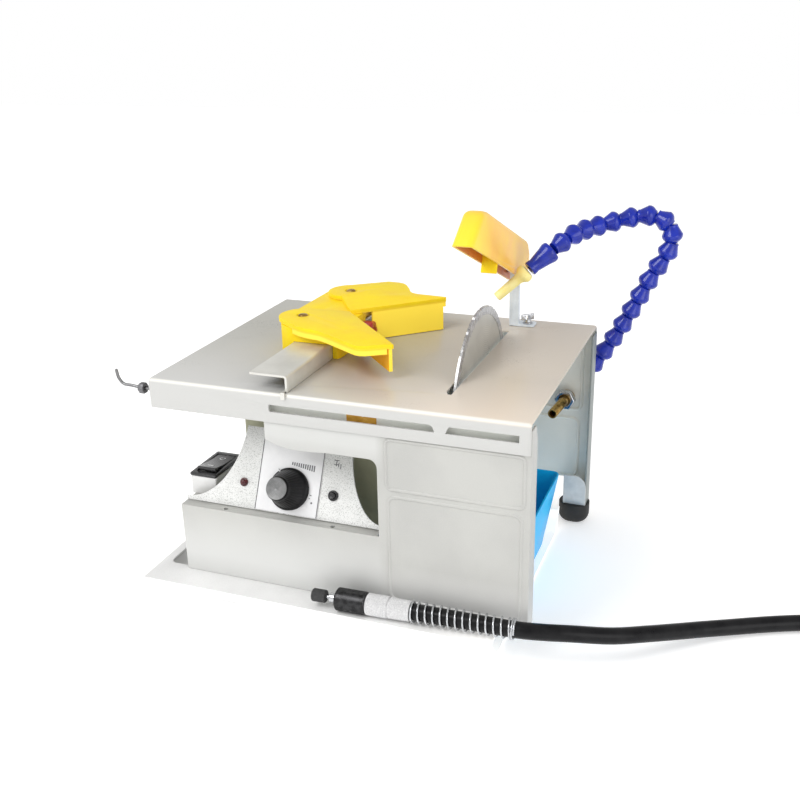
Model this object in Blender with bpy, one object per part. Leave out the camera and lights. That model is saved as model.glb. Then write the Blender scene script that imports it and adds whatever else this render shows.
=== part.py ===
"""Small bench lapidary machine: table saw blade, V guide on a fence, tilting guard with coolant hose,
speed-controlled motor under a bent sheet table, water tray and a flexible-shaft handpiece.

Frame: +X right, +Y to the back, +Z up. Origin: centre of the base pan's underside, which rests on the bench.
All dimensions below are in millimetres; MM turns them into metres when a mesh is made.
"""

from math import ceil, cos, pi, radians, sin

import bmesh
import bpy
from mathutils import Matrix, Vector

MM = 0.001
GAP = 0.3

# Table and body sheets
TABLE_WIDTH = 320.0
TABLE_DEPTH = 250.0
TABLE_HEIGHT = 196.0
SHEET = 1.5
SKIRT = 25.0
BEND = 3.0
HALF_WIDTH = TABLE_WIDTH / 2
HALF_DEPTH = TABLE_DEPTH / 2
FRONT_Y = -HALF_DEPTH + SHEET + GAP
BACK_Y = HALF_DEPTH - SHEET - GAP
BODY_LEFT = -141.0
PANEL_TOP = 190.0
RETURN_FLANGE = 17.0

# Base pan
PAN_HEIGHT = 22.0
PAN_TOP_X = (-170.0, 138.0)
PAN_TOP_Y = (-148.0, 92.0)
PAN_FOOT_X = -153.0
PAN_FOOT_Y = (-130.0, 80.0)
PAN_LEDGE = 29.0
PAN_FLANGE = 8.0

# Window in the front panel and the ledge below it
LEDGE_Z = 84.0
LEDGE_DEPTH = 14.0
WINDOW_RIGHT = 39.2
HOOD_LEFT = -56.0

# Rear legs and their boots
LEG_WIDTH = 24.0
LEG_FOOT_Z = 8.0
REAR_SHEET_Z = 43.0
BOOT = (29.0, 27.0, 20.0)

# Sloped control panel: x across, v up the slope
CONTROL_TILT = radians(26.0)
CONTROL_BASE = Vector((0.0, -114.0, LEDGE_Z + GAP + SHEET * sin(CONTROL_TILT)))
CONTROL_HALF = (-141.0, 38.0)
CONTROL_TOP = 68.0
CONTROL_ROW = 21.2
KNOB_X = -46.0
LAMP_X = -89.2
BUTTON_X = -7.4
KNOB_RADIUS = 17.5
KNOB_FACE_RADIUS = 9.1
KNOB_HEIGHT = 26.0
LABEL_X = (-76.0, -19.1)
BUTTON_TRAVEL = 2.0

# Switch box on the left side panel
SWITCH_X = (-144.0, -119.0)
SWITCH_Y = (-101.0, -54.0)
SWITCH_Z = (84.3, 100.5)
ROCKER_REST = radians(-7.0)

# Drive line along X
SPINDLE_Z = 165.0
SPINDLE_RADIUS = 4.0
MOTOR_X = (-50.0, 36.0)
MOTOR_RADIUS = 25.0
BEARING_X = (52.0, 64.0)
BLADE_X = 84.5
BLADE_RADIUS = 75.0
BLADE_THICKNESS = 1.8
FLANGE_RADIUS = 19.0
SLOT_X = (81.3, 87.3)
SLOT_Y = (-86.5, 83.4)
SKIRT_SLOT_Z = (180.2, 186.0)

# Water tray
TRAY_TOP_X = (42.0, 143.5)
TRAY_FOOT_X = (50.0, 131.5)
TRAY_TOP_Y = (-62.0, 62.0)
TRAY_FOOT_Y = (-54.0, 54.0)
TRAY_Z = (2.0, 73.0)
TRAY_WALL = 2.0

# Fence and V guide
FENCE_X = (-67.0, -34.5)
FENCE_Y = (-121.0, 121.0)
FENCE_TOP = 210.0
FENCE_SHEET = 2.0
GUIDE_TOP = 222.0
GUIDE_WALL = 3.0
ARM_TOP = 226.0
PIN_FRONT = Vector((-70.0, -16.0, 0.0))
PIN_REAR = Vector((-62.0, 70.0, 0.0))
LOBE_RADIUS = 21.0
CLAMP_Y = 10.5
CLAMP_Z = 207.5

# Guard, its post and the water nozzle
POST_X = (83.0, 92.0)
POST_Y = (98.5, 102.5)
PIVOT = Vector((84.5, 100.5, 247.0))
GUARD_TILT = radians(22.0)
GUARD_LEFT = 7.0
GUARD_RIGHT = 10.5
GUARD_WALL = 2.0
NOZZLE_TIP = Vector((81.2, 62.0, 233.0))
NOZZLE_MID = Vector((106.0, 71.0, 256.0))
NOZZLE_TOP = Vector((121.9, 83.0, 270.5))

# Brass fitting on the rear panel and the jointed coolant hose
FITTING = Vector((135.5, BACK_Y, 123.8))
HOSE_Y = 141.0
HOSE_PITCH = 16.2
HOSE_BALL = 9.3
HOSE_NECK = 6.2
HOSE_ROUTE = (
    (143.5, HOSE_Y, 134.0),
    (152.0, HOSE_Y, 146.5),
    (162.0, HOSE_Y, 162.0),
    (174.4, HOSE_Y, 182.6),
    (189.8, HOSE_Y, 213.0),
    (204.0, HOSE_Y, 243.0),
    (216.0, HOSE_Y, 263.0),
    (220.4, HOSE_Y, 279.0),
    (214.0, HOSE_Y, 292.0),
    (199.0, HOSE_Y, 296.2),
    (180.0, HOSE_Y, 292.5),
    (163.0, 139.0, 287.5),
    (149.0, 125.0, 285.0),
    (139.0, 106.0, 283.5),
    (132.0, 92.0, 279.0),
)
HOSE_SPLIT = 0.78

# Flexible shaft handpiece, lying on the pan's front ledge
HAND = Vector((21.0, -139.7, PAN_HEIGHT + GAP + 9.3))
HAND_AXIS = Vector((cos(radians(1.6)), sin(radians(1.6)), 0.0))
CHUCK = (-13.0, 13.0)
SLEEVE_END = 49.6
SPRING_END = 133.0
SPRING_TURNS = 14.5
SPRING_WIRE = 0.8

# Flexible shaft: free route, then a round coil; its free end lies on top
SHEATH_RADIUS = 6.5
COIL_CENTRE = Vector((452.0, 72.0, 0.0))
COIL_RADIUS = 71.5
COIL_HEIGHT = 13.4
TAIL_ARC = radians(150.0)
COUPLING_LENGTH = 40.0
SHEATH_ROUTE = (
    (70.9, -138.3, 31.6),
    (100.0, -137.5, 31.6),
    (130.0, -136.7, 31.6),
    (156.0, -135.6, 31.4),
    (176.0, -131.2, 30.8),
    (194.0, -124.4, 29.2),
    (222.6, -109.2, 23.8),
    (247.3, -88.8, 18.1),
    (266.0, -72.8, 13.9),
    (284.0, -57.8, 10.3),
    (308.0, -41.6, 7.6),
    (332.0, -28.6, 6.9),
    (356.0, -18.0, 6.8),
    (382.0, -8.8, 6.8),
    (407.0, -2.8, 6.8),
)


def remove_everything():
    for item in list(bpy.data.objects):
        bpy.data.objects.remove(item, do_unlink=True)


def material(name, colour, roughness, metallic=0.0):
    """One Principled BSDF material for one part."""
    made = bpy.data.materials.new(name)
    made.use_nodes = True
    shader = made.node_tree.nodes["Principled BSDF"]
    shader.inputs["Base Color"].default_value = (*colour, 1.0)
    shader.inputs["Roughness"].default_value = roughness
    shader.inputs["Metallic"].default_value = metallic
    made.diffuse_color = (*colour, 1.0)
    return made


WARM_GREY = ((0.62, 0.60, 0.55), 0.4, 0.0)
OFF_WHITE = ((0.74, 0.74, 0.70), 0.4, 0.0)
PAN_WHITE = ((0.82, 0.82, 0.81), 0.45, 0.0)
BLUE_GREY = ((0.36, 0.42, 0.46), 0.45, 0.0)
SILVER = ((0.58, 0.58, 0.57), 0.4, 0.2)
PALE = ((0.85, 0.85, 0.84), 0.5, 0.0)
BLACK = ((0.02, 0.02, 0.02), 0.4, 0.0)
RUBBER = ((0.02, 0.02, 0.02), 0.8, 0.0)
MID_GREY = ((0.32, 0.32, 0.32), 0.5, 0.0)
STEEL = ((0.55, 0.56, 0.58), 0.3, 1.0)
DARK_STEEL = ((0.25, 0.26, 0.27), 0.4, 1.0)
ALUMINIUM = ((0.66, 0.66, 0.64), 0.35, 1.0)
BRASS = ((0.60, 0.42, 0.16), 0.3, 1.0)
YELLOW = ((0.93, 0.68, 0.02), 0.4, 0.0)
ORANGE = ((0.93, 0.50, 0.05), 0.4, 0.0)
SKY = ((0.05, 0.42, 0.75), 0.35, 0.0)
DEEP_BLUE = ((0.02, 0.04, 0.55), 0.3, 0.0)
RED = ((0.45, 0.04, 0.03), 0.4, 0.0)


def aim(origin, direction, up=Vector((0, 0, 1))):
    """Matrix that takes local +Z to a direction, with local +Y as near to up as it can be."""
    z_axis = Vector(direction).normalized()
    if abs(z_axis.dot(up)) > 0.999:
        up = Vector((0, 1, 0))
    x_axis = Vector(up).cross(z_axis).normalized()
    y_axis = z_axis.cross(x_axis)
    turn = Matrix((x_axis, y_axis, z_axis)).transposed().to_4x4()
    return Matrix.Translation(Vector(origin)) @ turn


def slope_matrix():
    """Local x across, y up the slope and z out of the sloped control panel."""
    up_slope = Vector((0.0, sin(CONTROL_TILT), cos(CONTROL_TILT)))
    outward = Vector((0.0, -cos(CONTROL_TILT), sin(CONTROL_TILT)))
    turn = Matrix((Vector((1, 0, 0)), up_slope, outward)).transposed().to_4x4()
    return Matrix.Translation(CONTROL_BASE) @ turn


SLOPE = slope_matrix()


def place(name, mesh, look, pivot=Vector((0, 0, 0)), smooth=None, parent=None):
    """Makes a named object of a bmesh in millimetres, with its origin at the pivot."""
    pivot = Vector(pivot)
    bmesh.ops.translate(mesh, verts=mesh.verts, vec=-pivot)
    bmesh.ops.scale(mesh, verts=mesh.verts, vec=(MM, MM, MM))
    bmesh.ops.recalc_face_normals(mesh, faces=mesh.faces)
    data = bpy.data.meshes.new(name)
    mesh.to_mesh(data)
    mesh.free()
    made = bpy.data.objects.new(name, data)
    bpy.context.scene.collection.objects.link(made)
    made.location = pivot * MM
    if look:
        data.materials.append(material(name, *look))
    if smooth is not None:
        data.shade_smooth()
        data.set_sharp_from_angle(angle=radians(smooth))
    if parent:
        made.parent = parent
        made.location = pivot * MM - parent.location
    return made


def pivot_empty(name, at):
    """An empty on a joint's axis, which its pieces are parented to."""
    made = bpy.data.objects.new(name, None)
    bpy.context.scene.collection.objects.link(made)
    made.location = Vector(at) * MM
    bpy.context.view_layer.update()
    return made


def combine(target, mesh, operation):
    """Cuts a shape out of an object, or joins it on, with an exact Boolean."""
    tool = place("tool_" + target.name, mesh, None)
    tool.hide_render = True
    tool.display_type = "WIRE"
    change = target.modifiers.new(operation.lower(), "BOOLEAN")
    change.operation = operation
    change.solver = "EXACT"
    change.object = tool


def cut(target, *shapes):
    for shape in shapes:
        combine(target, shape, "DIFFERENCE")


def join(target, *shapes):
    for shape in shapes:
        combine(target, shape, "UNION")


def block(low, high):
    """A rectangular block between two corners."""
    mesh = bmesh.new()
    low = Vector(low)
    high = Vector(high)
    bmesh.ops.create_cube(mesh, size=1.0)
    bmesh.ops.scale(mesh, verts=mesh.verts, vec=high - low)
    bmesh.ops.translate(mesh, verts=mesh.verts, vec=(low + high) / 2)
    return mesh


def prism(outline, start, end, where=Matrix.Identity(4)):
    """An outline in local x and y, extruded along local z."""
    mesh = bmesh.new()
    lower = [mesh.verts.new((x, y, start)) for x, y in outline]
    upper = [mesh.verts.new((x, y, end)) for x, y in outline]
    mesh.faces.new(lower[::-1])
    mesh.faces.new(upper)
    count = len(outline)
    for i in range(count):
        j = (i + 1) % count
        mesh.faces.new((lower[i], lower[j], upper[j], upper[i]))
    mesh.transform(where)
    return mesh


UPRIGHT = Matrix(((1, 0, 0, 0), (0, 0, -1, 0), (0, 1, 0, 0), (0, 0, 0, 1)))
SIDEWAYS = Matrix(((0, 0, 1, 0), (1, 0, 0, 0), (0, 1, 0, 0), (0, 0, 0, 1)))


def sheet_xz(outline, y_low, y_high):
    """An outline of (x, z) points, extruded along Y."""
    return prism(outline, -y_high, -y_low, UPRIGHT)


def sheet_yz(outline, x_low, x_high):
    """An outline of (y, z) points, extruded along X."""
    return prism(outline, x_low, x_high, SIDEWAYS)


def frustum(low_z, low_x, low_y, high_z, high_x, high_y):
    """A straight-sided block whose bottom and top rectangles differ."""
    mesh = bmesh.new()
    rings = []
    for z, xs, ys in ((low_z, low_x, low_y), (high_z, high_x, high_y)):
        corners = ((xs[0], ys[0]), (xs[1], ys[0]), (xs[1], ys[1]), (xs[0], ys[1]))
        rings.append([mesh.verts.new((x, y, z)) for x, y in corners])
    mesh.faces.new(rings[0][::-1])
    mesh.faces.new(rings[1])
    for i in range(4):
        j = (i + 1) % 4
        mesh.faces.new((rings[0][i], rings[0][j], rings[1][j], rings[1][i]))
    return mesh


def turned(profile, where, sides=24):
    """A profile of (radius, height) points turned about local z; radius 0 closes an end."""
    mesh = bmesh.new()
    rings = []
    for radius, height in profile:
        if radius == 0:
            rings.append([mesh.verts.new((0, 0, height))])
            continue
        ring = []
        for i in range(sides):
            angle = 2 * pi * i / sides
            ring.append(mesh.verts.new((radius * cos(angle), radius * sin(angle), height)))
        rings.append(ring)
    closed = profile[0][0] != 0
    pairs = list(zip(rings, rings[1:]))
    if closed:
        pairs.append((rings[-1], rings[0]))
    for below, above in pairs:
        for i in range(sides):
            j = (i + 1) % sides
            if len(below) == 1:
                mesh.faces.new((below[0], above[j], above[i]))
            elif len(above) == 1:
                mesh.faces.new((below[i], below[j], above[0]))
            else:
                mesh.faces.new((below[i], below[j], above[j], above[i]))
    mesh.transform(where)
    return mesh


def rod(start, end, radius, sides=24):
    """A plain cylinder between two points."""
    length = (Vector(end) - Vector(start)).length
    profile = ((0, 0), (radius, 0), (radius, length), (0, length))
    return turned(profile, aim(start, Vector(end) - Vector(start)), sides)


def hexagon(across_flats):
    radius = across_flats / 2 / cos(pi / 6)
    return [(radius * cos(pi / 3 * i), radius * sin(pi / 3 * i)) for i in range(6)]


def arc(centre, radii, start_deg, end_deg, steps):
    """Points on an ellipse's arc, both ends included."""
    points = []
    for i in range(steps + 1):
        angle = radians(start_deg + (end_deg - start_deg) * i / steps)
        points.append((centre[0] + radii[0] * cos(angle), centre[1] + radii[1] * sin(angle)))
    return points


def smooth_line(points, step):
    """Evenly spaced points on a Catmull-Rom curve through the given points."""
    points = [Vector(p) for p in points]
    padded = [points[0] * 2 - points[1], *points, points[-1] * 2 - points[-2]]
    fine = []
    for i in range(1, len(padded) - 2):
        a, b, c, d = padded[i - 1 : i + 3]
        for k in range(24):
            t = k / 24
            square, cube = t * t, t * t * t
            spot = b * 2 + (c - a) * t + (a * 2 - b * 5 + c * 4 - d) * square
            fine.append((spot + (b * 3 - a - c * 3 + d) * cube) * 0.5)
    fine.append(padded[-2])
    lengths = [0.0]
    for before, after in zip(fine, fine[1:]):
        lengths.append(lengths[-1] + (after - before).length)
    count = max(2, ceil(lengths[-1] / step))
    line, j = [], 0
    for i in range(count + 1):
        wanted = lengths[-1] * i / count
        while j < len(lengths) - 2 and lengths[j + 1] < wanted:
            j += 1
        share = (wanted - lengths[j]) / max(lengths[j + 1] - lengths[j], 1e-9)
        line.append(fine[j].lerp(fine[j + 1], min(share, 1.0)))
    return line


def swept(line, radii, sides=10):
    """A round tube along a line, with its own radius at each point and flat ends."""
    mesh = bmesh.new()
    side = None
    rings = []
    for i, spot in enumerate(line):
        ahead = line[min(i + 1, len(line) - 1)] - line[max(i - 1, 0)]
        ahead.normalize()
        if side is None:
            side = ahead.cross(Vector((0, 0, 1)))
            if side.length < 0.1:
                side = ahead.cross(Vector((0, 1, 0)))
        side = (side - ahead * side.dot(ahead)).normalized()
        other = ahead.cross(side)
        ring = []
        for k in range(sides):
            angle = 2 * pi * k / sides
            ring.append(mesh.verts.new(spot + (side * cos(angle) + other * sin(angle)) * radii[i]))
        rings.append(ring)
    mesh.faces.new(rings[0][::-1])
    mesh.faces.new(rings[-1])
    for below, above in zip(rings, rings[1:]):
        for k in range(sides):
            n = (k + 1) % sides
            mesh.faces.new((below[k], below[n], above[n], above[k]))
    return mesh


def along_x(x, y=0.0, z=SPINDLE_Z):
    """Matrix whose local +Z runs along +X from a point."""
    return aim((x, y, z), (1, 0, 0))


# ---- frame and casings ----


def make_base_pan():
    top_x, top_y = PAN_TOP_X, PAN_TOP_Y
    foot_x = (PAN_FOOT_X, top_x[1])
    pan = place("base_pan", frustum(0, foot_x, PAN_FOOT_Y, PAN_HEIGHT, top_x, top_y), PAN_WHITE)
    inner_top_x = (top_x[0] + SHEET, top_x[1] + 5)
    inner_top_y = (top_y[0] + SHEET, top_y[1] - SHEET)
    inner_foot_x = (PAN_FOOT_X + SHEET, top_x[1] + 5)
    inner_foot_y = (PAN_FOOT_Y[0] + SHEET, PAN_FOOT_Y[1] - SHEET)
    top_z = PAN_HEIGHT - SHEET
    cut(
        pan,
        frustum(SHEET, inner_foot_x, inner_foot_y, top_z, inner_top_x, inner_top_y),
        block(
            (top_x[0] + PAN_FLANGE, top_y[0] + PAN_LEDGE, top_z - 3),
            (top_x[1] + 5, top_y[1] - PAN_FLANGE, PAN_HEIGHT + 5),
        ),
    )


def make_table():
    low = (-HALF_WIDTH, -HALF_DEPTH, TABLE_HEIGHT - SKIRT)
    high = (HALF_WIDTH, HALF_DEPTH, TABLE_HEIGHT)
    outer = rounded_block(low, high, BEND)
    table = place("table_top", outer, WARM_GREY, smooth=30)
    inner_low = (low[0] + SHEET, low[1] + SHEET, low[2] - 5)
    inner_high = (high[0] + 5, high[1] - SHEET, high[2] - SHEET)
    inner = rounded_block(inner_low, inner_high, BEND - SHEET)
    slot = [
        (SLOT_X[0], SLOT_Y[0] + 7),
        ((SLOT_X[0] + SLOT_X[1]) / 2, SLOT_Y[0]),
        (SLOT_X[1], SLOT_Y[0]),
        (SLOT_X[1], SLOT_Y[1]),
        (SLOT_X[0], SLOT_Y[1]),
    ]
    cut(table, inner, prism(slot, TABLE_HEIGHT - 5, TABLE_HEIGHT + 5))
    low, high = SKIRT_SLOT_Z
    long_slot = [(-50.0, low + 1.4), (-48.6, low), (86.3, low), (85.8, low + 2.6), (83.6, high - 0.5)]
    long_slot += [(82.0, high), (-48.6, high), (-50.0, high - 1.4)]
    short_slot = [(95.0, low), (150.8, low), (150.8, high), (98.6, high), (97.2, high - 0.6)]
    for outline in (long_slot, short_slot):
        cut(table, sheet_xz(outline, -HALF_DEPTH - 2, -HALF_DEPTH + SHEET + 2))


def rounded_block(low, high, radius):
    """A block with its top edges and corners rounded and its bottom left open to trimming."""
    mesh = block(low, (high[0], high[1], high[2]))
    edges = [e for e in mesh.edges if not all(abs(v.co.z - low[2]) < 0.01 for v in e.verts)]
    bmesh.ops.bevel(mesh, geom=edges, offset=radius, segments=3, profile=0.5, affect="EDGES")
    return mesh


def make_front_panel():
    bottom = PAN_HEIGHT + GAP
    outline = [(BODY_LEFT, bottom), (HALF_WIDTH, bottom), (HALF_WIDTH, PANEL_TOP), (HOOD_LEFT, PANEL_TOP)]
    outline += [(HOOD_LEFT, 155.0)]
    outline += [(-46.0, 151.5), (-33.5, 149.3), (-18.0, 149.3), (-4.0, 150.3), (20.0, 150.3)]
    outline += arc((WINDOW_RIGHT - 7, 142.8), (7.0, 7.5), 90, 0, 5)
    outline += [(WINDOW_RIGHT, LEDGE_Z), (BODY_LEFT, LEDGE_Z)]
    panel = place("front_panel", sheet_xz(outline, FRONT_Y, FRONT_Y + SHEET), OFF_WHITE)
    ledge = block(
        (BODY_LEFT, FRONT_Y + SHEET / 2, LEDGE_Z - SHEET),
        (WINDOW_RIGHT - 2, FRONT_Y + LEDGE_DEPTH, LEDGE_Z),
    )
    chamfer = 12.0
    flange = sheet_yz(
        [
            (FRONT_Y + SHEET / 2, bottom),
            (FRONT_Y + RETURN_FLANGE, bottom),
            (FRONT_Y + RETURN_FLANGE, PANEL_TOP - chamfer),
            (FRONT_Y + RETURN_FLANGE - chamfer / 2, PANEL_TOP),
            (FRONT_Y + SHEET / 2, PANEL_TOP),
        ],
        HALF_WIDTH - SHEET,
        HALF_WIDTH,
    )
    join(panel, ledge, flange)
    for x in (-100.4, -2.6):
        cut(panel, rod((x, FRONT_Y + 4.3, LEDGE_Z - 6), (x, FRONT_Y + 4.3, LEDGE_Z + 6), 2.0, 12))


def make_side_panel():
    back = BACK_Y - RETURN_FLANGE - 1
    outline = [
        (FRONT_Y + LEDGE_DEPTH + 1, SHEET + GAP),
        (PAN_FOOT_Y[1] - 4, SHEET + GAP),
        (PAN_FOOT_Y[1] - 4, PAN_HEIGHT + 6),
        (back, PAN_HEIGHT + 6),
        (back, SWITCH_Z[0] - GAP),
        (FRONT_Y + LEDGE_DEPTH + 1, SWITCH_Z[0] - GAP),
    ]
    panel = place("side_panel", sheet_yz(outline, BODY_LEFT, BODY_LEFT + SHEET), OFF_WHITE)
    shelf = block(
        (BODY_LEFT + SHEET / 2, FRONT_Y + LEDGE_DEPTH + 1, SWITCH_Z[0] - GAP - SHEET),
        (SWITCH_X[1] + 4, back, SWITCH_Z[0] - GAP),
    )
    join(panel, shelf)


def make_rear_panel():
    right, left = HALF_WIDTH, BODY_LEFT
    outline = [
        (left, LEG_FOOT_Z),
        (left + LEG_WIDTH, LEG_FOOT_Z),
        (left + LEG_WIDTH, REAR_SHEET_Z),
        (right - LEG_WIDTH, REAR_SHEET_Z),
        (right - LEG_WIDTH, LEG_FOOT_Z),
        (right, LEG_FOOT_Z),
        (right, PANEL_TOP),
        (left, PANEL_TOP),
    ]
    panel = place("rear_panel", sheet_xz(outline, BACK_Y - SHEET, BACK_Y), BLUE_GREY)
    for low_x in (left, right - SHEET):
        low = (low_x, BACK_Y - RETURN_FLANGE, LEG_FOOT_Z)
        join(panel, block(low, (low_x + SHEET, BACK_Y - SHEET / 2, PANEL_TOP)))
    cut(panel, rod(FITTING + Vector((0, -9, 0)), FITTING + Vector((0, 9, 0)), 5.3, 20))


def make_boot(name, leg_x, side):
    """A rubber boot with an L-shaped pocket for the leg; side is +1 for the right leg."""
    flange_x = leg_x[1] if side > 0 else leg_x[0]
    low_x = leg_x[0] - 2.5
    low = (low_x, BACK_Y - BOOT[1] + 3, 0.0)
    high = (low_x + BOOT[0], BACK_Y + 3, BOOT[2])
    shape = block(low, high)
    upright = [e for e in shape.edges if abs(e.verts[0].co.z - e.verts[1].co.z) > 1]
    bmesh.ops.bevel(shape, geom=upright, offset=6.0, segments=4, profile=0.5, affect="EDGES")
    boot = place(name, shape, RUBBER, smooth=40)
    near = flange_x - SHEET - GAP if side > 0 else flange_x - GAP
    far = flange_x + GAP if side > 0 else flange_x + SHEET + GAP
    top = BOOT[2] + 5
    foot = LEG_FOOT_Z - GAP
    back = BACK_Y + GAP
    front = BACK_Y - RETURN_FLANGE - GAP
    sheet_y = BACK_Y - SHEET - GAP
    if side > 0:
        pocket = [(near, front), (far, front), (far, back), (leg_x[0] - GAP, back)]
        pocket += [(leg_x[0] - GAP, sheet_y), (near, sheet_y)]
    else:
        pocket = [(near, front), (far, front), (far, sheet_y), (leg_x[1] + GAP, sheet_y)]
        pocket += [(leg_x[1] + GAP, back), (near, back)]
    cut(boot, prism(pocket, foot, top))


# ---- controls ----


def control_outline():
    """The trapezoid with concave sides, in local x and y of the slope."""
    left, right = CONTROL_HALF
    rise = CONTROL_TOP + 4
    right_side = arc((right, rise + 3), (35.0, rise), 270, 185, 9)
    left_side = arc((left, rise + 3), (48.0, rise), 355, 270, 9)
    return [(left, 0.0), (right, 0.0), *right_side, *left_side]


def make_control_panel():
    panel = place("control_panel", prism(control_outline(), -SHEET, 0.0, SLOPE), SILVER)
    for x, radius in ((KNOB_X, 4.5), (LAMP_X, 2.9), (BUTTON_X, 3.1)):
        profile = ((0, -5), (radius, -5), (radius, 5), (0, 5))
        cut(panel, turned(profile, SLOPE @ Matrix.Translation((x, CONTROL_ROW, 0)), 20))


def make_label():
    outline = [(LABEL_X[0], 0.8), (LABEL_X[1], 0.8), (LABEL_X[1], 63.0), (LABEL_X[0], 63.0)]
    plate = place("label_plate", prism(outline, GAP, GAP + 0.6, SLOPE), PALE)
    profile = ((0, -5), (5.0, -5), (5.0, 5), (0, 5))
    cut(plate, turned(profile, SLOPE @ Matrix.Translation((KNOB_X, CONTROL_ROW, 0)), 20))


def make_knob():
    base = 1.6
    where = SLOPE @ Matrix.Translation((KNOB_X, CONTROL_ROW, 0))
    centre = where @ Vector((0, 0, base))
    axis = pivot_empty("knob_axis", centre)
    body = (
        (3.3, base),
        (KNOB_RADIUS, base),
        (KNOB_RADIUS, base + 3.0),
        (KNOB_RADIUS - 1.2, base + 4.0),
        (KNOB_FACE_RADIUS + 1.3, KNOB_HEIGHT - 3),
        (KNOB_FACE_RADIUS + 0.6, KNOB_HEIGHT),
        (3.3, KNOB_HEIGHT),
    )
    place("speed_knob", turned(body, where, 28), BLACK, centre, 35, axis)
    face = (
        (0, KNOB_HEIGHT + GAP),
        (KNOB_FACE_RADIUS, KNOB_HEIGHT + GAP),
        (KNOB_FACE_RADIUS, KNOB_HEIGHT + 1.0),
        (KNOB_FACE_RADIUS - 0.6, KNOB_HEIGHT + 1.4),
        (0, KNOB_HEIGHT + 1.4),
    )
    place("knob_cap", turned(face, where, 28), MID_GREY, centre, 35, axis)
    rotor = (
        (0, -12.0),
        (9.0, -12.0),
        (9.0, -4.0),
        (3.0, -3.0),
        (3.0, KNOB_HEIGHT - 2),
        (0, KNOB_HEIGHT - 2),
    )
    place("knob_shaft", turned(rotor, where, 20), STEEL, centre, 35, axis)
    case = (
        (3.6, -SHEET - GAP),
        (12.0, -SHEET - GAP),
        (12.0, -15.0),
        (9.3, -15.0),
        (9.3, -3.4),
        (3.6, -2.4),
    )
    place("potentiometer", turned(case, where, 24), DARK_STEEL, smooth=35)


def make_lamp_and_button():
    lamp_at = SLOPE @ Matrix.Translation((LAMP_X, CONTROL_ROW, 0))
    lamp = (
        (0, -9.0),
        (2.5, -9.0),
        (2.5, GAP),
        (3.6, GAP),
        (3.6, 1.0),
        (2.6, 1.4),
        (2.3, 2.6),
        (1.3, 3.4),
        (0, 3.6),
    )
    place("power_lamp", turned(lamp, lamp_at, 20), RED, smooth=35)
    button_at = SLOPE @ Matrix.Translation((BUTTON_X, CONTROL_ROW, 0))
    ring = ((2.8, -7.0), (2.8, 1.6), (4.4, 1.3), (4.4, GAP), (3.05, GAP), (3.05, -7.0))
    place("button_collar", turned(ring, button_at, 20), DARK_STEEL, smooth=35)
    button = ((0, -9.0), (2.4, -9.0), (2.4, 4.0), (1.9, 4.6), (0, 4.8))
    place("reset_button", turned(button, button_at, 20), BLACK, button_at.translation, 35)


def make_switch():
    x_low, x_high = SWITCH_X
    y_low, y_high = SWITCH_Y
    box = place("switch_box", block((x_low, y_low, SWITCH_Z[0]), (x_high, y_high, SWITCH_Z[1])), MID_GREY)
    room = 3.0
    cavity = block((x_low + room, y_low + room, SWITCH_Z[0] + 2), (x_high - room, y_high - room, SWITCH_Z[1] + 5))
    cut(box, cavity)
    bezel_z = SWITCH_Z[1] + GAP
    frame = place("switch_bezel", block((x_low - 0.5, y_low - 0.5, bezel_z), (x_high, y_high, bezel_z + 2.4)), BLACK)
    hole = block((x_low + 3, y_low + 5, bezel_z - 2), (x_high - 3.5, y_high - 5, bezel_z + 5))
    cut(frame, hole)
    middle = Vector(((x_low + x_high) / 2 - 0.25, (y_low + y_high) / 2, bezel_z + 0.5))
    half_width = (x_high - x_low) / 2 - 3.8
    half_length = (y_high - y_low) / 2 - 6.0
    side = [
        (-half_length, 0.5),
        (-half_length, 3.6),
        (-half_length / 2, 3.0),
        (0.0, 2.6),
        (half_length / 2, 3.0),
        (half_length, 3.6),
        (half_length, 0.5),
        (5.0, -4.5),
        (-5.0, -4.5),
    ]
    shape = sheet_yz(side, -half_width, half_width)
    shape.transform(Matrix.Translation(middle) @ Matrix.Rotation(ROCKER_REST, 4, "X"))
    place("switch_rocker", shape, BLACK, middle)


# ---- drive ----


def make_motor():
    left, right = MOTOR_X
    radius = MOTOR_RADIUS
    shell = (
        (radius - 2, left + 4),
        (radius, left + 4),
        (radius, right - 4),
        (radius - 2, right - 4),
    )
    place("motor_housing", turned(shell, along_x(0), 24), DARK_STEEL, smooth=35)
    for name, inner, outer in (("motor_cap_right", right - 4, right), ("motor_cap_left", left + 4, left)):
        sign = 1 if outer > inner else -1
        cap = (
            (SPINDLE_RADIUS + 0.5, inner + sign * GAP),
            (radius, inner + sign * GAP),
            (radius - 1.5, outer),
            (10.0, outer),
            (9.0, outer + sign * 4),
            (SPINDLE_RADIUS + 0.5, outer + sign * 4),
        )
        place(name, turned(cap, along_x(0), 24), ALUMINIUM, smooth=35)
    top = TABLE_HEIGHT - SHEET - GAP
    cradle = place(
        "motor_bracket",
        block((left + 18, -30, top - 44), (right - 18, 30, top)),
        DARK_STEEL,
    )
    well = turned(((0, left), (radius + GAP, left), (radius + GAP, right), (0, right)), along_x(0), 24)
    opening = block((left, -radius - GAP, SPINDLE_Z - 60), (right, radius + GAP, SPINDLE_Z))
    cut(cradle, well, opening)


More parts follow.
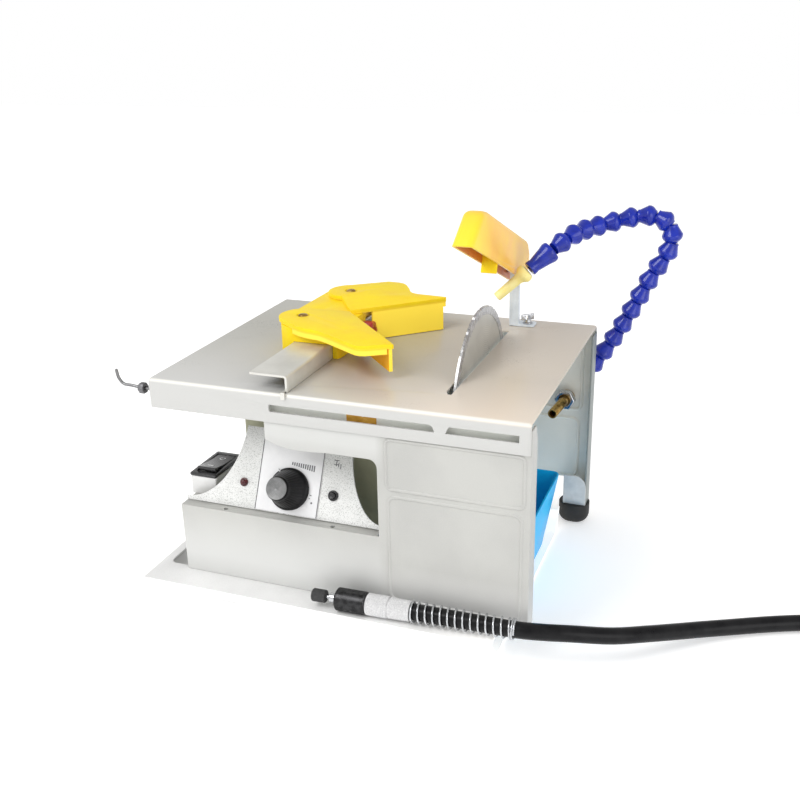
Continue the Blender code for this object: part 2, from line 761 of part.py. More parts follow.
def make_spindle():
    axis = pivot_empty("spindle_axis", (0, 0, SPINDLE_Z))
    pivot = Vector((0, 0, SPINDLE_Z))
    r = SPINDLE_RADIUS
    hub = BLADE_X - BLADE_THICKNESS / 2
    shaft = (
        (0, -66.0),
        (r, -66.0),
        (r, hub - 9 - GAP),
        (r + 4, hub - 9 + 1),
        (r + 4, hub - 4),
        (r, hub - 4),
        (r, BLADE_X + 17),
        (0, BLADE_X + 17),
    )
    place("spindle", turned(shaft, along_x(0), 24), STEEL, pivot, 35, axis)
    core = ((r + GAP, -36.0), (r + GAP, 22.0), (20.0, 22.0), (20.0, -36.0))
    place("rotor", turned(core, along_x(0), 24), DARK_STEEL, pivot, 35, axis)
    inner = (
        (r + GAP, hub - 4 + GAP),
        (FLANGE_RADIUS, hub - 2.5),
        (FLANGE_RADIUS, hub - GAP),
        (r + GAP, hub - GAP),
    )
    place("inner_flange", turned(inner, along_x(0), 24), STEEL, pivot, 35, axis)
    far = BLADE_X + BLADE_THICKNESS / 2
    disc = (
        (r + GAP, hub),
        (BLADE_RADIUS - 7, hub),
        (BLADE_RADIUS - 7, hub - 0.3),
        (BLADE_RADIUS, hub - 0.3),
        (BLADE_RADIUS, far + 0.3),
        (BLADE_RADIUS - 7, far + 0.3),
        (BLADE_RADIUS - 7, far),
        (r + GAP, far),
    )
    place("saw_blade", turned(disc, along_x(0), 48), STEEL, pivot, 35, axis)
    outer = (
        (r + GAP, far + GAP),
        (FLANGE_RADIUS, far + GAP),
        (FLANGE_RADIUS, far + 2.5),
        (FLANGE_RADIUS - 5, far + 4),
        (r + GAP, far + 4),
    )
    place("outer_flange", turned(outer, along_x(0), 24), STEEL, pivot, 35, axis)
    nut = place("arbor_nut", prism(hexagon(14.0), far + 4 + GAP, far + 11, along_x(0)), STEEL, pivot, None, axis)
    cut(nut, rod((far, 0, SPINDLE_Z), (far + 20, 0, SPINDLE_Z), r + GAP))
    chuck = (
        (r + GAP, -62.0),
        (9.0, -62.0),
        (11.5, -65.0),
        (11.5, -84.0),
        (9.0, -88.0),
        (5.0, -97.0),
        (1.6, -97.0),
        (1.6, -70.0),
        (r + GAP, -70.0),
    )
    place("tool_chuck", turned(chuck, along_x(0), 24), DARK_STEEL, pivot, 35, axis)
    bearing = place(
        "bearing_block",
        block((BEARING_X[0], -17, SPINDLE_Z - 15), (BEARING_X[1], 17, TABLE_HEIGHT - SHEET - GAP)),
        ALUMINIUM,
    )
    cut(bearing, rod((BEARING_X[0] - 5, 0, SPINDLE_Z), (BEARING_X[1] + 5, 0, SPINDLE_Z), r + 0.5))


# ---- water tray ----


def make_tray():
    wall = TRAY_WALL
    shape = frustum(TRAY_Z[0], TRAY_FOOT_X, TRAY_FOOT_Y, TRAY_Z[1], TRAY_TOP_X, TRAY_TOP_Y)
    upright = [e for e in shape.edges if abs(e.verts[0].co.z - e.verts[1].co.z) > 1]
    bmesh.ops.bevel(shape, geom=upright, offset=7.0, segments=3, profile=0.5, affect="EDGES")
    tray = place("water_tray", shape, SKY, smooth=30)
    room_foot_x = (TRAY_FOOT_X[0] + wall, TRAY_FOOT_X[1] - wall)
    room_foot_y = (TRAY_FOOT_Y[0] + wall, TRAY_FOOT_Y[1] - wall)
    room_top_x = (TRAY_TOP_X[0] + wall, TRAY_TOP_X[1] - wall)
    room_top_y = (TRAY_TOP_Y[0] + wall, TRAY_TOP_Y[1] - wall)
    room = frustum(TRAY_Z[0] + wall, room_foot_x, room_foot_y, TRAY_Z[1] + 0.01, room_top_x, room_top_y)
    upright = [e for e in room.edges if abs(e.verts[0].co.z - e.verts[1].co.z) > 1]
    bmesh.ops.bevel(room, geom=upright, offset=5.0, segments=3, profile=0.5, affect="EDGES")
    cut(tray, room)


# ---- fence and V guide ----


def make_fence():
    left, right = FENCE_X
    outline = [
        (left, FENCE_TOP - FENCE_SHEET),
        (right - FENCE_SHEET, FENCE_TOP - FENCE_SHEET),
        (right - FENCE_SHEET, TABLE_HEIGHT + GAP),
        (right, TABLE_HEIGHT + GAP),
        (right, FENCE_TOP - 0.6),
        (right - 0.6, FENCE_TOP),
        (left, FENCE_TOP),
    ]
    fence = place("fence", sheet_xz(outline, *FENCE_Y), ALUMINIUM)
    clip = block((right - 3.5, -HALF_DEPTH - 1.8, TABLE_HEIGHT - 4), (right, -HALF_DEPTH - GAP, TABLE_HEIGHT + 2))
    tie = block(
        (right - 3.5, -HALF_DEPTH - 1.8, TABLE_HEIGHT + GAP),
        (right - FENCE_SHEET / 2, FENCE_Y[0] + 3, TABLE_HEIGHT + 2),
    )
    join(fence, clip, tie)


def make_slider():
    """The saddle over the fence: a roof, a left wall and a right wall that carries the clamp."""
    low_z, high_z = TABLE_HEIGHT + GAP, GUIDE_TOP
    left = FENCE_X[0] - GAP
    outline = [
        (left - 22, -12.0),
        (left - 16, -34.0),
        (left - 4, -42.0),
        (-36.0, -42.0),
        (-28.0, -34.0),
        (-28.0, 84.0),
        (-36.0, 92.0),
        (left - 8, 92.0),
        (left - 20, 82.0),
    ]
    saddle = place("guide_slider", prism(outline, low_z, high_z), YELLOW)
    channel = block((left, -60, low_z - 5), (FENCE_X[1] + GAP, 110, FENCE_TOP + GAP))
    relief_front = block((FENCE_X[1] + GAP - 1, -60, low_z - 5), (0, -36, high_z - 5))
    relief_back = block((FENCE_X[1] + GAP - 1, CLAMP_Y + 12, low_z - 5), (0, 110, high_z - 5))
    cut(saddle, channel, relief_front, relief_back)
    bore = rod((-50, CLAMP_Y, CLAMP_Z), (0, CLAMP_Y, CLAMP_Z), 2.8, 16)
    cut(saddle, bore)
    for pin in (PIN_FRONT, PIN_REAR):
        cut(saddle, rod(pin + Vector((0, 0, 205)), pin + Vector((0, 0, 230)), 2.4, 16))


def arm_shape(outline, wall_line, wall_z, plate_z):
    """A flat plate with a vertical wall below one straight edge."""
    plate = prism(outline, plate_z[0], plate_z[1])
    inward = Vector(wall_line[2]).normalized()
    start = Vector(wall_line[0]) + inward * GAP
    end = Vector(wall_line[1]) + inward * GAP
    thick = inward * GUIDE_WALL
    corners = [start, end, end + thick, start + thick]
    wall = prism([(c.x, c.y) for c in corners], wall_z[0], wall_z[1])
    return plate, wall


def make_arms():
    plate_z = (GUIDE_TOP + GAP, ARM_TOP)
    wall_z = (TABLE_HEIGHT + 0.5, ARM_TOP - 1)
    lobe = arc((PIN_FRONT.x, PIN_FRONT.y), (LOBE_RADIUS, LOBE_RADIUS), 75, 235, 12)
    front = [*lobe, (-55.0, -52.0), (-38.0, -54.0), (8.0, -83.0), (29.0, -70.0), (35.0, -70.5), (-36.0, 6.0)]
    line = (Vector((33.0, -68.3)), Vector((-12.0, -19.8)), Vector((-1.0, -0.93)))
    plate, wall = arm_shape(front, line, (TABLE_HEIGHT + 7.0, wall_z[1]), plate_z)
    arm = place("guide_arm_front", plate, YELLOW, PIN_FRONT)
    join(arm, wall)
    cut(arm, rod(PIN_FRONT + Vector((0, 0, 215)), PIN_FRONT + Vector((0, 0, 235)), 2.4, 16))
    lobe = arc((PIN_REAR.x, PIN_REAR.y), (LOBE_RADIUS, LOBE_RADIUS), 110, 270, 12)
    rear = [*lobe, (-36.0, 8.5), (31.0, 71.0), (30.5, 74.5), (-4.0, 77.0)]
    rear += [(-12.0, 92.0), (-23.0, 109.0), (-40.0, 111.0)]
    line = (Vector((29.2, 69.3)), Vector((-21.0, 22.5)), Vector((-0.93, 1.0)))
    plate, wall = arm_shape(rear, line, wall_z, plate_z)
    arm = place("guide_arm_rear", plate, YELLOW, PIN_REAR)
    join(arm, wall)
    cut(arm, rod(PIN_REAR + Vector((0, 0, 215)), PIN_REAR + Vector((0, 0, 235)), 2.4, 16))


def make_guide_hardware():
    for name, pin in (("guide_pin_front", PIN_FRONT), ("guide_pin_rear", PIN_REAR)):
        profile = (
            (0, FENCE_TOP + 3.0),
            (2.0, FENCE_TOP + 3.0),
            (2.0, ARM_TOP + GAP),
            (4.5, ARM_TOP + GAP),
            (4.2, ARM_TOP + 1.6),
            (2.5, ARM_TOP + 2.4),
            (0, ARM_TOP + 2.6),
        )
        place(name, turned(profile, Matrix.Translation(pin), 20), BRASS, pin, 35)
    start = FENCE_X[1] + GAP
    profile = (
        (0, start),
        (2.5, start),
        (2.5, -26.0),
        (8.0, -26.0),
        (10.0, -24.0),
        (10.0, -17.0),
        (8.5, -15.5),
        (0, -15.0),
    )
    clamp_at = Vector((0, CLAMP_Y, CLAMP_Z))
    place("clamp_knob", turned(profile, along_x(0, CLAMP_Y, CLAMP_Z), 20), RED, clamp_at, 35)


# ---- guard ----


def make_post():
    top = PIVOT.z + 6
    post = place(
        "guard_post",
        block((POST_X[0], POST_Y[0], TABLE_HEIGHT + GAP), (POST_X[1], POST_Y[1], top)),
        STEEL,
    )
    foot = block((POST_X[0], POST_Y[0], TABLE_HEIGHT + GAP), (POST_X[1] + 14, POST_Y[1] + 9, TABLE_HEIGHT + GAP + 2))
    join(post, foot)
    screw_at = Vector((POST_X[1] + 7, POST_Y[1] + 2, 0))
    cut(
        post,
        rod((POST_X[0] - 5, PIVOT.y, PIVOT.z), (POST_X[1] + 5, PIVOT.y, PIVOT.z), 1.5, 12),
        rod(screw_at + Vector((0, 0, 190)), screw_at + Vector((0, 0, 203)), 2.4, 12),
    )
    foot_top = TABLE_HEIGHT + GAP + 2
    profile = (
        (0, TABLE_HEIGHT + GAP),
        (2.0, TABLE_HEIGHT + GAP),
        (2.0, foot_top + GAP),
        (4.5, foot_top + GAP),
        (4.5, foot_top + 3.0),
        (3.0, foot_top + 3.6),
        (3.0, foot_top + 7.5),
        (0, foot_top + 8.0),
    )
    place("post_screw", turned(profile, Matrix.Translation(screw_at), 16), STEEL, screw_at, 35)


def guard_matrix():
    """Local x across, y forward along the hood and z up out of it, at the tilted rest."""
    forward = Vector((0, -cos(GUARD_TILT), sin(GUARD_TILT)))
    up = Vector((0, sin(GUARD_TILT), cos(GUARD_TILT)))
    turn = Matrix((Vector((-1, 0, 0)), forward, up)).transposed().to_4x4()
    return Matrix.Translation(PIVOT) @ turn


def make_guard():
    wall = GUARD_WALL
    at = guard_matrix()
    side = [
        (-20.0, 0.0),
        (-14.0, -6.0),
        (169.0, -6.0),
        (147.0, 25.0),
        (134.0, 28.0),
        (-8.0, 30.0),
        (-20.0, 20.0),
    ]
    outer = prism(side, -GUARD_RIGHT, GUARD_LEFT, at @ SIDEWAYS)
    hood = place("guard_hood", outer, ORANGE, PIVOT)
    inside = [
        (-25.0, -8.0),
        (165.5, -8.0),
        (145.5, 22.5),
        (133.0, 30.0 - wall - 2.2),
        (-8.0, 30.0 - wall),
        (-25.0, 30.0 - wall),
    ]
    cut(hood, prism(inside, -GUARD_RIGHT + wall, GUARD_LEFT - wall, at @ SIDEWAYS))
    flap = [(83.5, 12.0), (83.5, -14.0), (85.5, -14.0), (85.5, 12.0)]
    join(hood, prism(flap, -GUARD_RIGHT + wall / 2, GUARD_LEFT - wall / 2, at @ SIDEWAYS))
    reach = GUARD_RIGHT + 5
    cut(hood, rod(PIVOT - Vector((reach, 0, 0)), PIVOT + Vector((reach, 0, 0)), 1.5, 12))
    pin = (
        (0, -GUARD_LEFT - 2.2),
        (3.2, -GUARD_LEFT - 2.2),
        (3.2, -GUARD_LEFT - GAP),
        (1.2, -GUARD_LEFT - GAP),
        (1.2, GUARD_RIGHT - 0.4),
        (0, GUARD_RIGHT - 0.4),
    )
    place("guard_pin", turned(pin, aim(PIVOT, (1, 0, 0)), 16), STEEL, PIVOT, 35)


def make_nozzle():
    down = NOZZLE_TIP - NOZZLE_MID
    thin_length = down.length
    back = (NOZZLE_TOP - NOZZLE_MID).normalized()
    tube = (
        (2.6, 0.0),
        (6.4, 0.0),
        (6.9, 4.0),
        (6.9, 7.8),
        (4.0, 8.4),
        (3.9, thin_length),
        (2.6, thin_length),
    )
    where = aim(NOZZLE_MID, down)
    where_back = aim(NOZZLE_MID + back * 2.4, back)
    place("water_nozzle", turned(tube, where, 20), YELLOW, PIVOT, 35)
    reach = (NOZZLE_TOP - NOZZLE_MID).length - 2.4
    flare = (
        (3.0, 0.0),
        (6.6, 0.0),
        (6.2, 5.0),
        (8.4, reach - 6),
        (9.6, reach - 1),
        (9.0, reach + 2.5),
        (3.0, reach + 2.5),
    )
    place("hose_connector", turned(flare, where_back, 20), DEEP_BLUE, PIVOT, 35)


# ---- coolant hose ----


def make_fitting():
    panel_front = BACK_Y - SHEET
    swing = radians(4.8)
    axis = Vector((-sin(swing), -cos(swing), 0.0))
    start = Vector((FITTING.x, panel_front - GAP - 7.5 * sin(swing), FITTING.z))
    body = (
        (0, 0.0),
        (7.5, 0.0),
        (7.5, 4.0),
        (5.2, 5.0),
        (5.2, 8.0),
        (4.4, 8.6),
        (4.4, 47.5),
        (3.0, 47.5),
        (3.0, 12.0),
        (0, 12.0),
    )
    fitting = place("brass_fitting", turned(body, aim(start, axis), 24), BRASS, smooth=35)
    through = rod(FITTING + Vector((0, -4, 0)), FITTING + Vector((0, 18.7, 0)), 4.8, 20)
    elbow_axis = Vector(HOSE_ROUTE[1]) - Vector(HOSE_ROUTE[0])
    elbow_axis.normalize()
    foot = Vector((FITTING.x, HOSE_Y, FITTING.z)) - elbow_axis * 6
    elbow = rod(foot, Vector(HOSE_ROUTE[0]) - elbow_axis * GAP, 6.0, 20)
    join(fitting, through, elbow)
    nut = place("fitting_nut", sheet_xz(nut_outline(), BACK_Y + GAP, BACK_Y + 6), STEEL)
    cut(nut, rod(FITTING - Vector((0, 2, 0)), FITTING + Vector((0, 12, 0)), 5.2, 20))


def nut_outline():
    return [(FITTING.x + x, FITTING.z + z) for x, z in hexagon(15.0)]


def make_hose():
    """Ball-and-socket segments in one beaded tube, in a fixed run and a short run that flexes."""
    route = [*HOSE_ROUTE, NOZZLE_TOP + (NOZZLE_TOP - NOZZLE_MID).normalized() * 5.0]
    fine = smooth_line(route, 1.0)
    total = len(fine) - 1
    beads = round(total / HOSE_PITCH)
    rings_per_bead = 4
    shares = ((0.0, HOSE_NECK), (0.22, HOSE_BALL), (0.62, HOSE_BALL - 0.5), (0.93, HOSE_NECK))
    line, radii = [], []
    for bead in range(beads):
        for share, radius in shares:
            spot = (bead + share) / beads * total
            low = int(spot)
            line.append(fine[low].lerp(fine[min(low + 1, total)], spot - low))
            radii.append(radius)
    line.append(fine[total])
    radii.append(HOSE_NECK)
    split = round(beads * HOSE_SPLIT) * rings_per_bead
    place("coolant_hose", swept(line[: split + 1], radii[: split + 1]), DEEP_BLUE, smooth=50)
    rest = line[split:]
    rest[0] = rest[0].lerp(rest[1], 4 * GAP / (rest[1] - rest[0]).length)
    place("hose_end", swept(rest, radii[split:]), DEEP_BLUE, PIVOT, 50)


# ---- rest hook ----


def make_hook():
    outside = -HALF_WIDTH
    y, z = -118.0, 184.0
    line = smooth_line(
        (
            (outside - GAP, y, z),
            (outside - 10, y, z),
            (outside - 20, y, z + 1),
            (outside - 28, y, z + 1.6),
            (outside - 32.5, y, z + 6.5),
            (outside - 34, y, z + 14),
        ),
        4.0,
    )
    place("rest_hook", swept(line, [1.3] * len(line), 10), STEEL, smooth=50)
    nut = place("hook_nut", prism(hexagon(8.5), -12.0, -7.0, along_x(outside, y, z)), DARK_STEEL)
    cut(nut, rod((outside - 14, y, z), (outside - 5, y, z), 1.7, 12))


# ---- flexible shaft ----


def hand_at(distance):
    return aim(HAND + HAND_AXIS * distance, HAND_AXIS)


def make_handpiece():
    axis = pivot_empty("handpiece_axis", HAND)
    tip = ((0, -34.0), (4.8, -34.0), (5.3, -33.2), (5.3, -23.0), (4.6, -22.0), (0, -22.0))
    place("polishing_tip", turned(tip, hand_at(0), 20), DARK_STEEL, HAND, 35, axis)
    nose = ((0, -21.7), (1.6, -21.7), (1.6, -19.0), (4.0, -18.6), (4.0, CHUCK[0] - GAP), (0, CHUCK[0] - GAP))
    place("collet_nose", turned(nose, hand_at(0), 20), STEEL, HAND, 35, axis)
    chuck = (
        (0, CHUCK[0]),
        (8.3, CHUCK[0]),
        (9.3, CHUCK[0] + 1.2),
        (9.3, CHUCK[1] - 1.0),
        (8.6, CHUCK[1]),
        (0, CHUCK[1]),
    )
    place("handpiece_chuck", turned(chuck, hand_at(0), 24), BLACK, HAND, 35, axis)
    sleeve = (
        (0, CHUCK[1] + GAP),
        (8.8, CHUCK[1] + GAP),
        (8.9, CHUCK[1] + 18),
        (8.5, CHUCK[1] + 19),
        (8.0, SLEEVE_END),
        (0, SLEEVE_END),
    )
    place("handpiece_sleeve", turned(sleeve, hand_at(0), 24), ALUMINIUM, smooth=35)


def make_spring():
    steps = 10
    count = int(SPRING_TURNS * steps)
    where = hand_at(0)
    start = SLEEVE_END + GAP + SPRING_WIRE
    line = []
    for i in range(count + 1):
        share = i / count
        radius = 8.1 - 0.3 * share
        angle = 2 * pi * i / steps
        reach = start + (SPRING_END - start) * share
        line.append(where @ Vector((radius * cos(angle), radius * sin(angle), reach)))
    place("strain_spring", swept(line, [SPRING_WIRE] * len(line), 5), STEEL, smooth=60)


def tube_curve(name, line, look):
    """A cord as a curve with a round bevel and filled ends."""
    data = bpy.data.curves.new(name, "CURVE")
    data.dimensions = "3D"
    data.bevel_depth = SHEATH_RADIUS * MM
    data.bevel_resolution = 3
    data.use_fill_caps = True
    spline = data.splines.new("POLY")
    spline.points.add(len(line) - 1)
    for point, spot in zip(spline.points, line):
        point.co = (*(Vector(spot) * MM), 1.0)
    data.materials.append(material(name, *look))
    made = bpy.data.objects.new(name, data)
    bpy.context.scene.collection.objects.link(made)


def coil_point(angle, z):
    return COIL_CENTRE + Vector((COIL_RADIUS * cos(angle), COIL_RADIUS * sin(angle), z))


def make_flexible_shaft():
    tube_curve("flex_sheath", smooth_line(SHEATH_ROUTE, 16.0), BLACK)
    half = COIL_HEIGHT / 2
    ring = (
        (COIL_RADIUS - half, GAP),
        (COIL_RADIUS + half, GAP),
        (COIL_RADIUS + half, GAP + COIL_HEIGHT - 0.4),
        (COIL_RADIUS - half, GAP + COIL_HEIGHT - 0.4),
    )
    place("flex_coil", turned(ring, Matrix.Translation(COIL_CENTRE), 40), BLACK, smooth=35)
    top = COIL_HEIGHT + GAP + SHEATH_RADIUS
    steps = 12
    start = radians(-90)
    tail = [coil_point(start + TAIL_ARC * i / steps, top) for i in range(steps + 1)]
    tube_curve("flex_tail", tail, BLACK)
    end = tail[-1]
    ahead = Vector((-sin(start + TAIL_ARC), cos(start + TAIL_ARC), 0.0))
    length = COUPLING_LENGTH
    body = (
        (0, GAP + 0.6),
        (6.5, GAP + 0.6),
        (7.0, 2.0),
        (7.0, length - 16),
        (6.9, length - 15),
        (6.9, length - 3),
        (6.0, length - 2),
        (2.0, length - 2),
        (2.0, length + 8),
        (0, length + 8),
    )
    lift = Vector((0, 0, 0.6))
    place("drive_coupling", turned(body, aim(end + lift, ahead), 24), STEEL, end, 35)


def main():
    remove_everything()
    make_base_pan()
    make_table()
    make_front_panel()
    make_side_panel()
    make_rear_panel()
    make_boot("rear_foot_right", (HALF_WIDTH - LEG_WIDTH, HALF_WIDTH), 1)
    make_boot("rear_foot_left", (BODY_LEFT, BODY_LEFT + LEG_WIDTH), -1)
    make_control_panel()
    make_label()
    make_knob()
    make_lamp_and_button()
    make_switch()
    make_motor()
    make_spindle()
    make_tray()
    make_fence()
    make_slider()
    make_arms()
    make_guide_hardware()
    make_post()
    make_guard()
    make_nozzle()
    make_fitting()
    make_hose()
    make_hook()
    make_handpiece()
    make_spring()
    make_flexible_shaft()


main()
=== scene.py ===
"""Looks of a small bench lapidary machine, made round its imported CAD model.

Lengths are in millimetres in the machine's own frame: +X right, +Y to the back, +Z up, with the origin at
the centre of the pan's underside. MM turns them into metres.
"""

from math import ceil, cos, floor, pi, radians, sin

import bmesh
import bpy
from mathutils import Matrix, Vector


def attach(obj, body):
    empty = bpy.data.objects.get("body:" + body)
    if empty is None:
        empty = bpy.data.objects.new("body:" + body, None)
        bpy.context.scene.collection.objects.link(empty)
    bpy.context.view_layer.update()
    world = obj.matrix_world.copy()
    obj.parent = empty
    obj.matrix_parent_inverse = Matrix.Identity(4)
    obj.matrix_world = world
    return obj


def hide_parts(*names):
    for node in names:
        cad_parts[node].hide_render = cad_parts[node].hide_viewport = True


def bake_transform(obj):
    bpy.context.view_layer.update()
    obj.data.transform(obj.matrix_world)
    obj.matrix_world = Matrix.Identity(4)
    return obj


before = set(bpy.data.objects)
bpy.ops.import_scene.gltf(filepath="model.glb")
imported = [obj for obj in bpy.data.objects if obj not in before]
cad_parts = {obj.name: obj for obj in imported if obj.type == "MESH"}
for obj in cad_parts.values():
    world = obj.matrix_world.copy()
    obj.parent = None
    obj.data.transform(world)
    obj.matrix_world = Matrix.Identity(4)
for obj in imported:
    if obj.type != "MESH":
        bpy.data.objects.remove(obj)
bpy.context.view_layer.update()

MM = 0.001
GAP = 0.3
SHEET = 1.5

# Table and casing
HALF_WIDTH = 160
HALF_DEPTH = 125
TABLE_TOP = 196
SKIRT = 25
BEND = 3
FRONT_Y = -123.2
BACK_Y = 123.2
BODY_LEFT = -141
PANEL_TOP = 190
RETURN_FLANGE = 17
LEDGE_Z = 84
WINDOW_RIGHT = 39.2
HOOD_LEFT = -56
LEG_WIDTH = 24
LEG_FOOT_Z = 8
REAR_SHEET_Z = 43

# Controls, on a slope
CONTROL_TILT = radians(26)
CONTROL_BASE = Vector((0, -114, LEDGE_Z + GAP + SHEET * sin(CONTROL_TILT)))
CONTROL_ROW = 21.2
KNOB_X = -46
LAMP_X = -89.2
BUTTON_X = -7.4
LABEL_X = (-76, -19.1)

# Drive
SPINDLE_Z = 165
BLADE_X = 84.5
BLADE_RADIUS = 75

# Fence and guide
FENCE_X = (-67, -34.5)
FENCE_TOP = 210
GUIDE_TOP = 222
ARM_TOP = 226
PIN_FRONT = Vector((-70, -16, 0))
PIN_REAR = Vector((-62, 70, 0))
CLAMP = Vector((0, 10.5, 207.5))

# Guard and water line
PIVOT = Vector((84.5, 100.5, 247))
GUARD_TILT = radians(22)
NOZZLE_TIP = Vector((81.2, 62, 233))
NOZZLE_MID = Vector((106, 71, 256))
NOZZLE_TOP = Vector((121.9, 83, 270.5))
FITTING = Vector((135.5, BACK_Y, 123.8))
HOSE_Y = 141
HOSE_PITCH = 16.2
HOSE_SPLIT = 0.78
HOSE_ROUTE = (
    (143.5, HOSE_Y, 134), (152, HOSE_Y, 146.5), (162, HOSE_Y, 162), (174.4, HOSE_Y, 182.6),
    (189.8, HOSE_Y, 213), (204, HOSE_Y, 243), (216, HOSE_Y, 263), (220.4, HOSE_Y, 279),
    (214, HOSE_Y, 292), (199, HOSE_Y, 296.2), (180, HOSE_Y, 292.5), (163, 139, 287.5),
    (149, 125, 285), (139, 106, 283.5), (132, 92, 279),
)

# Camera as fitted to the photo: metres, then degrees of azimuth, pitch and roll
CAMERA_AT = (0.3122, -0.7736, 0.4735)
CAMERA_TURN = (21.225, 21.251, -1.306)
CAMERA_LENS = 45.646
FLOOR_GLOW = 0.42

# Handpiece and flexible shaft
HAND = Vector((21, -139.7, 31.6))
HAND_AXIS = Vector((cos(radians(1.6)), sin(radians(1.6)), 0))
SLEEVE_END = 49.6
SPRING_END = 133
SHEATH_RADIUS = 6.5
COIL_CENTRE = Vector((452, 72, 0))
COIL_RADIUS = 71.5
COIL_LOW = 6.8
COIL_HIGH = 20.2
TAIL_ARC = radians(150)
SHEATH_ROUTE = (
    (70.9, -138.3, 31.6), (100, -137.5, 31.6), (130, -136.7, 31.6), (156, -135.6, 31.4),
    (176, -131.2, 30.8), (194, -124.4, 29.2), (222.6, -109.2, 23.8), (247.3, -88.8, 18.1),
    (266, -72.8, 13.9), (284, -57.8, 10.3), (308, -41.6, 7.6), (332, -28.6, 6.9),
    (356, -18, 6.8), (382, -8.8, 6.8), (407, -2.8, 6.8),
)


# ---- shape tools ----


def frame_of(x_axis, y_axis, z_axis, origin):
    """Matrix whose local axes are the three given ones."""
    turn = Matrix((x_axis, y_axis, z_axis)).transposed().to_4x4()
    return Matrix.Translation(Vector(origin)) @ turn


def aim(origin, direction, up=Vector((0, 0, 1))):
    """Matrix that takes local +Z to a direction, with local +Y as near to up as it can be."""
    z_axis = Vector(direction).normalized()
    if abs(z_axis.dot(up)) > 0.999:
        up = Vector((0, 1, 0))
    x_axis = Vector(up).cross(z_axis).normalized()
    return frame_of(x_axis, z_axis.cross(x_axis), z_axis, origin)


def slope_matrix():
    """Local x across, y up the slope and z out of the sloped control panel."""
    lean, rise = sin(CONTROL_TILT), cos(CONTROL_TILT)
    return frame_of(Vector((1, 0, 0)), Vector((0, lean, rise)), Vector((0, -rise, lean)), CONTROL_BASE)


SLOPE = slope_matrix()
UPRIGHT = Matrix(((1, 0, 0, 0), (0, 0, -1, 0), (0, 1, 0, 0), (0, 0, 0, 1)))
SIDEWAYS = Matrix(((0, 0, 1, 0), (1, 0, 0, 0), (0, 1, 0, 0), (0, 0, 0, 1)))


def block(low, high, round_by=0, steps=3, pick=None):
    """A rectangular block, with its edges rounded, or only those that pick chooses."""
    mesh = bmesh.new()
    low, high = Vector(low), Vector(high)
    bmesh.ops.create_cube(mesh, size=1)
    bmesh.ops.scale(mesh, verts=mesh.verts, vec=high - low)
    bmesh.ops.translate(mesh, verts=mesh.verts, vec=(low + high) / 2)
    if round_by:
        soften(mesh, round_by, steps, pick)
    return mesh


def soften(mesh, width, steps=3, pick=None):
    """Rounds the edges of a mesh that pick chooses, or all of them."""
    edges = [e for e in mesh.edges if pick is None or pick(e)]
    bmesh.ops.bevel(mesh, geom=edges, offset=width, segments=steps, profile=0.5, affect="EDGES")
    return mesh


def upright(edge):
    return abs(edge.verts[0].co.z - edge.verts[1].co.z) > 1


def skin(mesh, rings, caps=False, closed=False):
    """Faces between neighbouring rings of vertices, where a ring may be a single one."""
    if caps:
        mesh.faces.new(rings[0][::-1])
        mesh.faces.new(rings[-1])
    for below, above in zip(rings, rings[1:] + (rings[:1] if closed else [])):
        sides = max(len(below), len(above))
        for i in range(sides):
            j = (i + 1) % sides
            lower = [below[i], below[j]] if len(below) > 1 else below
            mesh.faces.new(lower + ([above[j], above[i]] if len(above) > 1 else above))
    return mesh


def prism(outline, start, end, where=Matrix.Identity(4)):
    """An outline in local x and y, extruded along local z."""
    mesh = bmesh.new()
    skin(mesh, [[mesh.verts.new((x, y, z)) for x, y in outline] for z in (start, end)], caps=True)
    mesh.transform(where)
    return mesh


def sheet_xz(outline, y_low, y_high):
    return prism(outline, -y_high, -y_low, UPRIGHT)


def sheet_yz(outline, x_low, x_high):
    return prism(outline, x_low, x_high, SIDEWAYS)


def frustum(low_z, low_x, low_y, high_z, high_x, high_y):
    """A straight-sided block whose bottom and top rectangles differ."""
    mesh = bmesh.new()
    rings = []
    for z, xs, ys in ((low_z, low_x, low_y), (high_z, high_x, high_y)):
        corners = ((xs[0], ys[0]), (xs[1], ys[0]), (xs[1], ys[1]), (xs[0], ys[1]))
        rings.append([mesh.verts.new((x, y, z)) for x, y in corners])
    return skin(mesh, rings, caps=True)


def turned(profile, where, sides=64, shape=None, mesh=None):
    """A profile of (radius, height) points turned about local z; radius 0 closes an end.

    shape(radius, height, angle) may change a point's radius, for flutes and knurls.
    """
    mesh = mesh or bmesh.new()
    rings = []
    for radius, height in profile:
        ring = []
        for i in range(sides if radius else 1):
            angle = 2 * pi * i / sides
            reach = shape(radius, height, angle) if shape and radius else radius
            ring.append(mesh.verts.new(where @ Vector((reach * cos(angle), reach * sin(angle), height))))
        rings.append(ring)
    return skin(mesh, rings, closed=profile[0][0] != 0)


def rod(start, end, radius, sides=40):
    length = (Vector(end) - Vector(start)).length
    profile = ((0, 0), (radius, 0), (radius, length), (0, length))
    return turned(profile, aim(start, Vector(end) - Vector(start)), sides)


def hexagon(across_flats, centre=(0, 0)):
    radius = across_flats / 2 / cos(pi / 6)
    return [(centre[0] + radius * cos(pi / 3 * i), centre[1] + radius * sin(pi / 3 * i)) for i in range(6)]


def arc(centre, radii, start_deg, end_deg, steps):
    """Points on a circle's arc, or an ellipse's if radii is a pair, with both ends included."""
    across, up = radii if isinstance(radii, tuple) else (radii, radii)
    points = []
    for i in range(steps + 1):
        angle = radians(start_deg + (end_deg - start_deg) * i / steps)
        points.append((centre[0] + across * cos(angle), centre[1] + up * sin(angle)))
    return points


